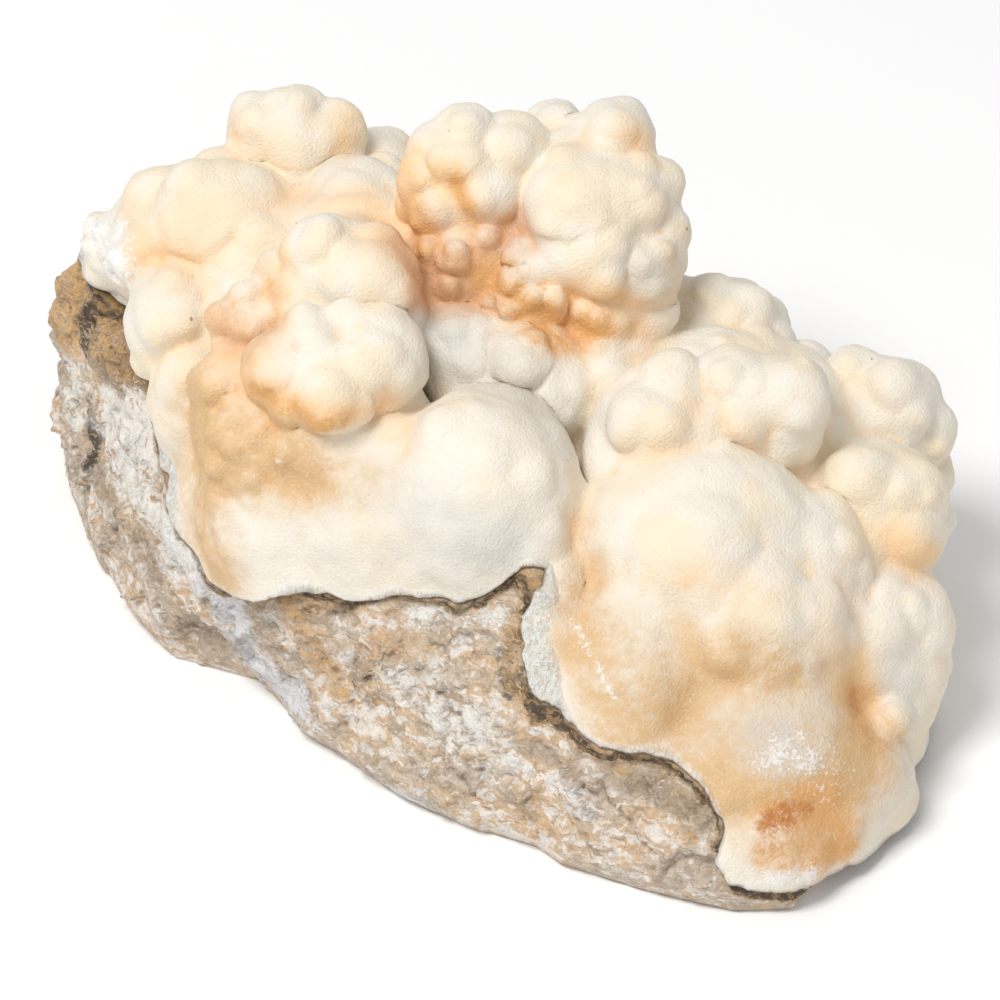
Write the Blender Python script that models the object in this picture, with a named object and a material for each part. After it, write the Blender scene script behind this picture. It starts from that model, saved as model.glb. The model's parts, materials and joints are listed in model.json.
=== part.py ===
"""Aragonite cluster: a lumpy cream crust grown over a broken wedge of crystalline stone.

Run with: blender --background --python part.py

The model's own frame is in metres, +Z up, and the stone rests on z = 0. Lengths in the tables
below are in millimetres. What shows from the front is laid out in the seen frame: across (to
the right), up and toward the viewer, as someone sees the specimen while looking down on it by
VIEW_TILT. What shows only from behind is laid out in the model's own frame.
"""

import math
import random

import bmesh
import bpy
import numpy as np
from mathutils import Matrix, Vector, noise

MM = 0.001
OBJECT_NAME = "aragonite_cluster"
VIEW_TILT = math.radians(40)
SEEN_ORIGIN_HEIGHT = 24.4

# The crust and the stone part along one bed, a sheet that passes through BED_POINTS.
BED_GAP = 0.35
BED_CELL = 5.0
BED_HALF_SPAN = 65.0
BED_DEPTH = 60.0

# How the lumps melt together: a firm one keeps its outline, a soft one blends far out. A lobe
# is bold or gentle, which says how firm it is and how far its knobs stand proud of it.
LUMP_CELL = 1.5
LUMP_TRIANGLES = 8200
LUMP_THRESHOLD = 0.05
KNOB_FIRMNESS = 5.0
BOLD = (2.5, 1.9)
GENTLE = (1.0, 0.9)

# A lobe is its centre, its half sizes along the same axes, its character and its knobs. A knob
# is (across, up, radius) and sits on the near side of its lobe.
SEEN_LOBES = {
    "back_left_mound": (
        (-36.6, 32.6, -17.0), (13.2, 10.6, 12.0), BOLD,
        [(-44.0, 38.2, 3.8), (-46.2, 30.6, 3.6), (-35.6, 41.4, 3.4), (-38.6, 36.4, 5.0),
         (-31.5, 34.5, 4.0), (-38.5, 28.6, 3.8)],
    ),
    "back_left_cap": (
        (-26.2, 46.2, -17.0), (8.0, 4.9, 6.5), BOLD,
        [(-31.0, 48.0, 3.4), (-25.0, 49.6, 3.0), (-20.4, 47.2, 3.6), (-31.4, 45.0, 3.4),
         (-25.8, 44.4, 3.8), (-21.0, 43.6, 3.4), (-28.3, 49.6, 2.4)],
    ),
    "back_saddle": (
        (-20.0, 36.0, -18.0), (10.0, 7.5, 8.0), BOLD,
        [(-14.8, 38.6, 4.6), (-20.8, 38.4, 4.4), (-25.6, 36.4, 3.8), (-17.0, 34.2, 4.8)],
    ),
    "back_far_lump": ((-15.4, 41.0, -24.0), (5.6, 5.4, 6.0), BOLD, []),
    "second_lobe": (
        (-19.2, 26.4, 2.4), (9.2, 8.2, 9.0), BOLD,
        [(-21.9, 31.4, 4.0), (-16.0, 27.4, 6.0), (-13.4, 23.0, 4.2), (-27.4, 28.2, 3.2),
         (-24.4, 30.2, 2.9), (-25.0, 24.4, 3.6)],
    ),
    "left_cluster": (
        (-31.4, 21.4, 1.0), (5.0, 5.4, 5.0), BOLD,
        [(-34.3, 22.4, 2.4), (-31.6, 25.2, 2.4), (-31.2, 21.6, 2.1), (-33.6, 18.8, 2.2),
         (-29.0, 22.9, 1.9), (-29.6, 18.8, 1.8)],
    ),
    "front_head": (
        (-21.4, 15.4, 10.0), (11.0, 6.0, 7.6), BOLD,
        [(-23.4, 19.6, 4.4), (-15.2, 17.2, 6.4), (-20.8, 13.2, 5.2), (-27.2, 16.0, 4.8),
         (-12.6, 11.4, 3.6), (-31.4, 17.0, 3.2), (-25.8, 11.6, 2.8)],
    ),
    "left_shoulder": ((-32.6, 10.0, 3.0), (5.8, 7.0, 6.0), BOLD, [(-35.4, 13.8, 3.2)]),
    "front_body_left": ((-26.2, -1.2, 2.0), (11.8, 12.8, 10.4), GENTLE, [(-32.0, 3.6, 3.0)]),
    "front_body_middle": ((-13.6, -1.0, 8.0), (11.4, 12.0, 10.0), GENTLE, []),
    "front_body_right": (
        (-2.2, 0.2, 12.0), (12.2, 13.4, 12.0), GENTLE,
        [(-1.9, 4.6, 4.2), (-6.4, 7.6, 3.6), (3.4, 2.6, 3.6), (4.4, -4.6, 3.8)],
    ),
    "front_fold": ((5.4, -18.0, 14.8), (5.2, 12.4, 8.8), BOLD, []),
    "left_end": ((-50.4, 31.6, -20.0), (5.0, 4.4, 5.0), GENTLE, []),
    "left_flank_top": ((-42.0, 22.6, -8.0), (7.0, 7.8, 7.0), BOLD, []),
    "left_flank_middle": ((-40.2, 12.5, -5.0), (5.8, 8.4, 6.5), BOLD, []),
    "left_flank_foot": ((-35.8, 1.8, -3.6), (5.0, 9.4, 6.2), BOLD, []),
    "central_lobe": (
        (11.4, 33.4, -4.0), (11.2, 14.0, 12.0), BOLD,
        [(6.9, 46.4, 3.8), (14.2, 45.2, 5.2), (9.4, 36.1, 7.6), (15.6, 37.0, 5.8),
         (17.2, 29.6, 5.6), (20.1, 33.1, 3.6), (19.3, 39.4, 3.6), (12.2, 23.6, 5.6),
         (7.3, 30.0, 5.0), (17.0, 23.0, 4.4), (11.6, 30.0, 5.0)],
    ),
    "central_bunch": (
        (-3.8, 39.6, -1.0), (8.0, 8.6, 8.0), BOLD,
        [(-4.4, 45.8, 3.8), (1.3, 43.6, 4.8), (-8.0, 43.9, 3.2), (-9.5, 40.1, 3.2),
         (-2.1, 38.2, 4.4), (-8.0, 36.0, 3.4), (-11.0, 36.6, 1.9), (-5.4, 42.0, 3.4)],
    ),
    "central_valley": (
        (-3.8, 30.4, 0.6), (8.0, 6.4, 5.6), BOLD,
        [(-8.8, 31.0, 1.8), (-10.2, 28.6, 1.5), (-5.6, 30.2, 2.3), (-6.2, 26.9, 1.9),
         (-1.8, 32.6, 1.8)],
    ),
    "central_grapes": (
        (4.0, 26.6, 2.4), (5.4, 6.4, 5.0), BOLD,
        [(2.5, 30.5, 2.1), (5.8, 28.4, 2.0), (1.3, 27.2, 1.6), (3.9, 25.2, 1.7),
         (1.7, 23.8, 1.6), (-0.8, 25.0, 1.6), (6.5, 25.0, 1.9), (5.6, 20.2, 2.2)],
    ),
    "central_foot": (
        (1.6, 14.6, 1.4), (11.0, 9.0, 8.0), BOLD,
        [(-6.2, 20.6, 3.6), (-3.8, 16.4, 4.2), (2.2, 16.8, 4.6), (6.6, 12.8, 5.2)],
    ),
    "central_flank": ((12.6, 15.0, -2.0), (7.4, 10.0, 8.0), BOLD, [(9.6, 7.6, 4.8)]),
    "right_cap": (
        (31.8, 11.8, 6.0), (8.8, 6.4, 8.0), BOLD,
        [(28.6, 14.4, 4.8), (35.6, 12.4, 5.2), (29.6, 8.8, 5.0), (35.2, 8.4, 4.4)],
    ),
    "right_shoulder": (
        (20.6, 8.0, 6.0), (9.6, 9.2, 10.0), BOLD,
        [(21.0, 14.0, 4.4), (17.2, 9.6, 4.4), (14.8, 4.6, 4.4)],
    ),
    "right_body_top": ((24.4, -6.0, 11.0), (15.6, 13.0, 13.0), GENTLE, []),
    "right_body_middle": (
        (29.6, -17.6, 11.5), (15.0, 13.5, 14.0), GENTLE,
        [(38.0, -14.0, 4.2), (33.0, -19.6, 4.2), (27.6, -18.0, 4.4)],
    ),
    "right_body_inner": ((16.4, -22.4, 15.2), (10.6, 14.2, 11.6), GENTLE, []),
    "right_body_foot": ((31.6, -32.8, 16.4), (13.6, 13.8, 10.8), GENTLE, []),
    "right_toe": ((31.8, -42.6, 19.8), (9.2, 7.0, 7.0), GENTLE, []),
    "right_knuckle": ((43.2, -6.4, 8.0), (4.0, 4.0, 4.5), BOLD, []),
    "right_shelf": (
        (46.4, -1.4, 2.0), (9.0, 8.8, 9.0), BOLD,
        [(44.8, 1.8, 5.2), (50.2, -4.4, 5.0), (50.8, 1.0, 4.6)],
    ),
    "far_right_mass": (
        (46.4, 9.2, -9.0), (9.6, 8.6, 9.0), BOLD,
        [(38.9, 16.2, 3.6), (44.8, 15.6, 3.6), (49.6, 12.2, 6.0), (54.0, 8.8, 3.8),
         (54.4, 3.3, 3.2), (54.2, -2.3, 3.0)],
    ),
    "far_middle_mass": (
        (27.6, 21.7, -13.0), (8.4, 6.6, 8.0), BOLD,
        [(22.2, 24.6, 4.0), (27.0, 25.0, 3.6), (31.0, 23.6, 3.4), (33.8, 20.4, 3.2),
         (27.2, 20.8, 4.0)],
    ),
    "right_side": (
        (46.2, -19.0, 3.0), (9.4, 13.4, 10.0), GENTLE,
        [(51.4, -15.0, 5.0), (48.6, -28.1, 3.4)],
    ),
    "right_side_foot": ((42.6, -35.6, 11.0), (10.2, 11.0, 10.4), GENTLE, []),
    "core_left": ((-14.0, 22.0, -10.0), (28.0, 18.0, 14.0), BOLD, []),
    "core_right": ((25.0, 2.0, -6.0), (24.0, 20.0, 15.0), BOLD, []),
}

# Lobes out of sight from the front: centre (x, y, height), half sizes and firmness.
HIDDEN_LOBES = {
    "back_wall_left": ((-40.0, 39.0, 27.0), (12.0, 9.0, 10.0), BOLD),
    "back_wall_middle": ((-22.0, 41.0, 26.0), (11.0, 9.0, 13.0), BOLD),
    "back_wall_inner": ((-6.0, 42.0, 19.0), (9.0, 8.0, 11.0), BOLD),
    "back_wall_right": ((10.0, 38.0, 24.0), (11.0, 9.0, 12.0), BOLD),
    "back_wall_foot": ((14.0, 37.0, 13.0), (14.0, 8.0, 9.0), BOLD),
    "back_corner": ((30.0, 27.0, 16.0), (12.0, 10.0, 12.0), BOLD),
    "right_wall_back": ((42.5, 13.0, 13.0), (10.0, 12.0, 11.0), BOLD),
    "right_wall_front": ((44.0, -12.0, 12.0), (9.5, 13.0, 11.5), GENTLE),
    "under_core": ((-3.0, 14.0, 17.0), (42.0, 26.0, 16.0), BOLD),
}
HIDDEN_KNOBS = 34

# The sheet between crust and stone passes through these points (x, y, height).
BED_POINTS = [
    (-35.6, -8.8, 17.0), (-31.1, -10.2, 19.3), (-26.1, -11.9, 22.1), (-19.8, -15.7, 21.2),
    (-14.8, -17.1, 23.9), (-5.0, -20.5, 25.6), (3.5, -22.6, 30.6), (1.8, -27.2, 24.9),
    (3.7, -32.2, 19.4), (6.8, -34.9, 17.8), (17.1, -40.0, 16.6), (25.6, -46.7, 11.1),
    (26.8, -49.0, 6.7), (36.5, -50.1, 3.2), (44.0, -40.0, 2.4), (50.0, -26.0, 2.2),
    (53.0, -8.0, 2.4), (50.0, 10.0, 3.0), (42.0, 25.0, 4.0), (28.0, 38.0, 6.5),
    (8.0, 47.0, 10.0), (-14.0, 49.0, 15.0), (-34.0, 48.0, 21.0), (-50.0, 44.0, 29.0),
    (-55.5, 38.0, 33.6), (-50.0, 32.0, 30.6), (-45.0, 20.0, 27.0), (-43.2, 11.0, 24.0),
    (-40.3, 0.0, 21.0), (-20.0, 10.0, 20.0), (10.0, 15.0, 12.0), (28.0, -20.0, 7.0),
]

# The broken stone, as three outlines from its foot to above the bed, point for point.
STONE_FOOT_HEIGHT, STONE_MIDDLE_HEIGHT, STONE_TOP_HEIGHT = 3.0, 18.0, 32.0
STONE_OUTLINE = [
    ((-31.5, -7.0), (-35.8, -8.6), (-36.5, -4.0)),
    ((-28.5, -12.5), (-29.0, -11.5), (-28.0, -7.0)),
    ((-25.0, -18.0), (-22.5, -15.5), (-20.0, -11.0)),
    ((-12.5, -30.0), (-11.5, -22.5), (-10.0, -14.0)),
    ((-4.0, -35.6), (-4.0, -27.0), (-4.0, -15.5)),
    ((5.0, -39.2), (4.0, -33.0), (3.5, -21.5)),
    ((8.0, -42.4), (9.0, -36.0), (9.0, -27.0)),
    ((18.0, -46.8), (17.0, -39.2), (16.0, -29.0)),
    ((29.5, -50.6), (27.0, -43.0), (24.0, -32.0)),
    ((36.5, -50.0), (34.0, -42.5), (30.0, -32.0)),
    ((39.5, -43.0), (37.5, -37.0), (33.0, -28.0)),
    ((44.5, -31.0), (42.0, -26.0), (37.0, -20.0)),
    ((47.5, -14.0), (45.0, -12.0), (39.0, -10.0)),
    ((47.0, 4.0), (44.0, 3.0), (38.0, 2.0)),
    ((42.5, 18.0), (39.5, 16.0), (34.0, 14.0)),
    ((33.0, 31.0), (31.0, 29.0), (26.0, 25.0)),
    ((18.0, 41.0), (17.0, 39.0), (14.0, 34.0)),
    ((0.0, 45.0), (0.0, 43.0), (0.0, 38.0)),
    ((-18.0, 48.0), (-17.0, 46.0), (-16.0, 42.0)),
    ((-36.0, 48.5), (-35.0, 47.0), (-34.0, 44.0)),
    ((-51.0, 45.0), (-51.5, 44.5), (-51.5, 43.5)),
    ((-57.0, 38.5), (-57.5, 38.5), (-57.5, 38.5)),
    ((-56.5, 30.0), (-54.0, 31.0), (-51.0, 32.0)),
    ((-53.0, 18.0), (-48.5, 19.0), (-45.0, 20.0)),
    ((-48.0, 6.5), (-44.5, 8.5), (-42.5, 10.0)),
    ((-43.0, -2.2), (-41.0, -1.0), (-39.5, 1.0)),
    ((-37.0, -4.6), (-38.3, -5.6), (-38.3, -2.0)),
]
STONE_LEVELS = [0.0, 1.2, 3.0, 7.0, 11.0, 15.0, 19.0, 23.0, 27.0, 31.0, 36.0, 44.0]
STONE_FOOT_INSET = 2.0
STONE_STEP = 4.5
STONE_ROUGHNESS = 1.1
STONE_GRAIN = 7.0


def seen_to_model():
    """The matrix from the seen frame to the model's own frame, both in millimetres."""
    turn = Matrix.Rotation(math.pi / 2 - VIEW_TILT, 4, "X")
    return Matrix.Translation((0, 0, SEEN_ORIGIN_HEIGHT)) @ turn


def field_radius(radius, firmness):
    """The reach of influence that puts a ball element's surface at this radius."""
    return radius / math.sqrt(1.0 - (LUMP_THRESHOLD / firmness) ** (1.0 / 3.0))


def add_lump(balls, centre, reach, firmness, turn):
    """Adds one ellipsoid with these half sizes along the axes that turn gives it."""
    longest = max(reach)
    lump = balls.elements.new(type="ELLIPSOID")
    lump.co = centre
    lump.rotation = turn
    lump.radius = field_radius(longest, firmness)
    lump.size_x, lump.size_y, lump.size_z = (side / longest for side in reach)
    lump.stiffness = firmness


def knob_sink(radius, rise):
    """How far a knob's centre lies under its lobe's surface."""
    return radius - min(rise, radius / 2)


def seen_knobs(centre, reach, rise, knobs):
    """Yields each listed knob's centre, just under its lobe's near side, and its radius."""
    for across, up, radius in knobs:
        u = (across - centre[0]) / reach[0]
        v = (up - centre[1]) / reach[1]
        depth = math.sqrt(max(0.0, 1.0 - u * u - v * v))
        yield Vector((across, up, centre[2] + reach[2] * depth - knob_sink(radius, rise))), radius


def hidden_knobs(centre, reach, rise, is_seen, seed):
    """Yields knobs spread evenly round a lobe, apart from the side that is_seen rules out."""
    chance = random.Random(seed)
    golden = math.pi * (3.0 - math.sqrt(5.0))
    for index in range(HIDDEN_KNOBS):
        height = 1.0 - 2.0 * (index + 0.5) / HIDDEN_KNOBS
        angle = golden * index + chance.uniform(-0.4, 0.4)
        round_it = math.sqrt(1.0 - height * height)
        way = Vector((round_it * math.cos(angle), round_it * math.sin(angle), height))
        radius = min(reach) * chance.uniform(0.22, 0.52)
        if is_seen(way):
            continue
        out = Vector(side * part for side, part in zip(reach, way))
        yield Vector(centre) + out - out.normalized() * knob_sink(radius, rise), radius


def lobes_mesh(cell):
    """All lobes and knobs melted together, as one mesh in the model's frame, in millimetres."""
    balls = bpy.data.metaballs.new("crust_lumps")
    balls.resolution = balls.render_resolution = cell
    balls.threshold = LUMP_THRESHOLD
    to_model = seen_to_model()
    turn = to_model.to_quaternion()
    for seed, (centre, reach, (firmness, rise), knobs) in enumerate(SEEN_LOBES.values()):
        add_lump(balls, to_model @ Vector(centre), reach, firmness, turn)
        near = list(seen_knobs(centre, reach, rise, knobs))
        far = list(hidden_knobs(centre, reach, rise, lambda way: way.z > -0.15, seed))
        for place, radius in near + far:
            add_lump(balls, to_model @ place, (radius,) * 3, KNOB_FIRMNESS, turn)
    upright = Matrix.Identity(4).to_quaternion()
    for seed, (centre, reach, (firmness, rise)) in enumerate(HIDDEN_LOBES.values(), 100):
        add_lump(balls, centre, reach, firmness, upright)
        far = hidden_knobs(centre, reach, rise, lambda way: way.y - way.z < -0.2, seed)
        for place, radius in far:
            add_lump(balls, place, (radius,) * 3, KNOB_FIRMNESS, upright)
    holder = bpy.data.objects.new("crust_lumps", balls)
    bpy.context.scene.collection.objects.link(holder)
    graph = bpy.context.evaluated_depsgraph_get()
    mesh = bpy.data.meshes.new_from_object(holder.evaluated_get(graph))
    bpy.data.objects.remove(holder)
    bpy.data.metaballs.remove(balls)
    return mesh


def largest_shell(mesh):
    """Drops every shell but the largest: the pockets that lobes seal between them."""
    shape = bmesh.new()
    shape.from_mesh(mesh)
    shape.faces.ensure_lookup_table()
    left = set(shape.faces)
    shells = []
    while left:
        start = left.pop()
        shell, edge_of = [start], [start]
        while edge_of:
            face = edge_of.pop()
            for edge in face.edges:
                for other in edge.link_faces:
                    if other in left:
                        left.remove(other)
                        shell.append(other)
                        edge_of.append(other)
        shells.append(shell)
    largest = max(shells, key=len)
    others = [face for shell in shells if shell is not largest for face in shell]
    bmesh.ops.delete(shape, geom=others, context="FACES")
    bmesh.ops.triangulate(shape, faces=shape.faces)
    shape.to_mesh(mesh)
    shape.free()


def bed_heights(places):
    """The bed's height at each (x, y), from a thin plate bent through BED_POINTS."""
    points = np.array(BED_POINTS)

    def bend(a, b):
        gap = np.linalg.norm(a[:, None, :] - b[None, :, :], axis=2)
        return gap**2 * np.log(gap + 1e-9)

    ones = np.ones((len(points), 1))
    flat = np.hstack([ones, points[:, :2]])
    system = np.block([[bend(points[:, :2], points[:, :2]), flat], [flat.T, np.zeros((3, 3))]])
    weights = np.linalg.solve(system, np.concatenate([points[:, 2], np.zeros(3)]))
    places = np.asarray(places, float)
    flat = np.hstack([np.ones((len(places), 1)), places])
    heights = bend(places, points[:, :2]) @ weights[:-3] + flat @ weights[-3:]
    return np.clip(heights, 1.5, 40.0)


def bed_cutter(name, lift):
    """The block of space under the bed, with its top raised by lift."""
    steps = round(2 * BED_HALF_SPAN / BED_CELL)
    shape = bmesh.new()
    bmesh.ops.create_grid(shape, x_segments=steps, y_segments=steps, size=BED_HALF_SPAN)
    shape.verts.ensure_lookup_table()
    heights = bed_heights([vert.co.xy for vert in shape.verts])
    for vert, height in zip(shape.verts, heights):
        vert.co.z = height + lift
    bmesh.ops.triangulate(shape, faces=shape.faces, quad_method="FIXED")
    lower = bmesh.ops.extrude_face_region(shape, geom=shape.faces[:])["geom"]
    for part in lower:
        if isinstance(part, bmesh.types.BMVert):
            part.co.z = -BED_DEPTH
    bmesh.ops.recalc_face_normals(shape, faces=shape.faces)
    mesh = bpy.data.meshes.new(name)
    shape.to_mesh(mesh)
    shape.free()
    return mesh


def stone_ring(height):
    """The stone's outline at this height, as evenly stepped (x, y) points."""
    levels = (STONE_FOOT_HEIGHT, STONE_MIDDLE_HEIGHT, STONE_TOP_HEIGHT)
    outline = np.array(STONE_OUTLINE)
    upper = int(height > STONE_MIDDLE_HEIGHT)
    share = (height - levels[upper]) / (levels[upper + 1] - levels[upper])
    share = max(0.0, share)
    ring = outline[:, upper] * (1 - share) + outline[:, upper + 1] * share
    if height < STONE_FOOT_HEIGHT:
        middle = ring.mean(axis=0)
        out = ring - middle
        inset = STONE_FOOT_INSET * (1.0 - height / STONE_FOOT_HEIGHT) ** 2
        ring = middle + out * (1.0 - inset / np.linalg.norm(out, axis=1, keepdims=True))
    foot = outline[:, 0]
    sides = np.linalg.norm(np.roll(foot, -1, axis=0) - foot, axis=1)
    points = []
    for start, end, side in zip(ring, np.roll(ring, -1, axis=0), sides):
        steps = max(1, round(side / STONE_STEP))
        points += [start + (end - start) * step / steps for step in range(steps)]
    return points


def stone_mesh():
    """The broken stone up to above the bed, lofted through its outlines and roughened."""
    shape = bmesh.new()
    rings = []
    for height in STONE_LEVELS:
        rings.append([shape.verts.new((x, y, height)) for x, y in stone_ring(height)])
    for below, above in zip(rings, rings[1:]):
        for index in range(len(below)):
            after = (index + 1) % len(below)
            shape.faces.new((below[index], below[after], above[after], above[index]))
    shape.faces.new(rings[0][::-1])
    shape.faces.new(rings[-1])
    bmesh.ops.triangulate(shape, faces=[face for face in shape.faces if len(face.verts) == 4])
    shape.normal_update()
    foot = set(rings[0])
    for vert in shape.verts:
        if vert in foot:
            continue
        push = noise.noise(vert.co / STONE_GRAIN) * STONE_ROUGHNESS
        vert.co += Vector((vert.normal.x, vert.normal.y, 0.0)) * push
    mesh = bpy.data.meshes.new("stone")
    shape.to_mesh(mesh)
    shape.free()
    return mesh


def add_object(name, mesh, collection):
    """Links a mesh made in millimetres as an object of this name, in metres."""
    mesh.transform(Matrix.Scale(MM, 4))
    item = bpy.data.objects.new(name, mesh)
    collection.objects.link(item)
    return item


def cut_with(item, cutter, operation):
    """Adds an exact Boolean by this cutter."""
    boolean = item.modifiers.new(operation.title(), "BOOLEAN")
    boolean.solver = "EXACT"
    boolean.operation = operation
    boolean.object = cutter


def finish_with(item, name, colour, roughness):
    """Gives the object its own material."""
    material = bpy.data.materials.new(name)
    material.use_nodes = True
    shader = material.node_tree.nodes["Principled BSDF"]
    shader.inputs["Base Color"].default_value = (*colour, 1.0)
    shader.inputs["Roughness"].default_value = roughness
    shader.inputs["Metallic"].default_value = 0.0
    item.data.materials.append(material)


def add_collection(name):
    """A new collection of this name in the scene."""
    collection = bpy.data.collections.new(name)
    bpy.context.scene.collection.children.link(collection)
    return collection


def add_cutter(name, lift, collection):
    """A hidden cutter of the space under the bed."""
    cutter = add_object(name, bed_cutter(name, lift), collection)
    cutter.hide_render = True
    cutter.display_type = "WIRE"
    return cutter


def thin_out(mesh, triangles):
    """Collapses the mesh's shortest edges until it has about this many triangles."""
    holder = bpy.data.objects.new("thinned", mesh)
    bpy.context.scene.collection.objects.link(holder)
    collapse = holder.modifiers.new("Decimate", "DECIMATE")
    collapse.ratio = min(1.0, triangles / len(mesh.polygons))
    graph = bpy.context.evaluated_depsgraph_get()
    thinned = bpy.data.meshes.new_from_object(holder.evaluated_get(graph))
    bpy.data.objects.remove(holder)
    return thinned


def main():
    """Builds the crust and the stone."""
    for item in list(bpy.data.objects):
        bpy.data.objects.remove(item)
    parts = add_collection(OBJECT_NAME)
    cutters = add_collection("cutters")

    lumps = lobes_mesh(LUMP_CELL)
    largest_shell(lumps)
    crust = add_object("aragonite_crust", thin_out(lumps, LUMP_TRIANGLES), parts)
    cut_with(crust, add_cutter("space_under_crust", BED_GAP, cutters), "DIFFERENCE")
    crust.data.shade_smooth()
    finish_with(crust, "cream_crust", (0.91, 0.78, 0.60), 0.75)

    stone = add_object("matrix_stone", stone_mesh(), parts)
    cut_with(stone, add_cutter("space_of_stone", 0.0, cutters), "INTERSECT")
    finish_with(stone, "broken_stone", (0.52, 0.40, 0.29), 0.6)


main()
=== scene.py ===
"""Aragonite cluster: a lumpy cream crust over a broken wedge of crystalline stone, dressed.

Lengths are in millimetres up to the moment when a mesh becomes an object, which is in metres.
What shows from the front is laid out in the seen frame: across (to the right), up and toward
the viewer, as someone sees the specimen while looking down on it by 40 degrees. What shows only
from behind is laid out in the model's own frame, +Z up, with the stone resting on z = 0.
"""

import json
import logging
import math
import random
from collections.abc import Callable, Iterator, Mapping, Sequence
from dataclasses import dataclass, field
from enum import Enum
from typing import ClassVar

import bmesh
import bpy
import numpy as np
from mathutils import Matrix, Quaternion, Vector, noise
from mathutils.kdtree import KDTree

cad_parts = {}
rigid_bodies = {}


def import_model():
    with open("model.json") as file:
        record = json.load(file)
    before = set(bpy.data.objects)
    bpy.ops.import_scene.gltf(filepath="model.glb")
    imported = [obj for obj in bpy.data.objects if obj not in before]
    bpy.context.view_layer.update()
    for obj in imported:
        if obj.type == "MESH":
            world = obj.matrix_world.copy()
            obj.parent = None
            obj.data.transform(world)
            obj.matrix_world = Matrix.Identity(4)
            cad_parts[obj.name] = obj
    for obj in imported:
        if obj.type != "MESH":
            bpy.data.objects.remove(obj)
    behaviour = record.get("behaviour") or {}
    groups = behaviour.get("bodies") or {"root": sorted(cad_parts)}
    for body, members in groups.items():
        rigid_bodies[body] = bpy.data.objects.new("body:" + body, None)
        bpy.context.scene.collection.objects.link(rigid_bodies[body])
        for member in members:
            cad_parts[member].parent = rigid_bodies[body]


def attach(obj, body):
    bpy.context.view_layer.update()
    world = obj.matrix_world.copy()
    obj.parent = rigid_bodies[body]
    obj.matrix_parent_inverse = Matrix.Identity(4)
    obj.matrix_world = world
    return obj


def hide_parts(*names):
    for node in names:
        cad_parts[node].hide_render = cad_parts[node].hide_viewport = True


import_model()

MM = 0.001
NOISE_SEED = 7
BODY = "root"

Pair = tuple[float, float]
Triple = tuple[float, float, float]
Value = "Wire | float"

log = logging.getLogger("aragonite_cluster")


class Wire:
    """One output of a node, in expressions that add the Math nodes they need."""

    def __init__(self, graph: "Graph", socket: bpy.types.NodeSocket) -> None:
        """Wraps a socket.

        Args:
            graph: The material that the socket belongs to.
            socket: The output to work with.
        """
        self.graph = graph
        self.socket = socket

    def _math(self, operation: str, first: Value, second: Value) -> "Wire":
        """The output of a Math node of this operation on the two values."""
        return self.graph.node("ShaderNodeMath", {"operation": operation}, {0: first, 1: second})

    def __add__(self, other: Value) -> "Wire":
        """This value plus the other."""
        return self._math("ADD", self, other)

    def __radd__(self, other: Value) -> "Wire":
        """The other value plus this."""
        return self._math("ADD", other, self)

    def __sub__(self, other: Value) -> "Wire":
        """This value minus the other."""
        return self._math("SUBTRACT", self, other)

    def __rsub__(self, other: Value) -> "Wire":
        """The other value minus this."""
        return self._math("SUBTRACT", other, self)

    def __mul__(self, other: Value) -> "Wire":
        """This value times the other."""
        return self._math("MULTIPLY", self, other)

    def __rmul__(self, other: Value) -> "Wire":
        """The other value times this."""
        return self._math("MULTIPLY", other, self)

    def __truediv__(self, other: Value) -> "Wire":
        """This value divided by the other."""
        return self._math("DIVIDE", self, other)

    def __rtruediv__(self, other: Value) -> "Wire":
        """The other value divided by this."""
        return self._math("DIVIDE", other, self)


    def other(self, output: str) -> "Wire":
        """Another output of the same node."""
        return Wire(self.graph, self.socket.node.outputs[output])


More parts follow.
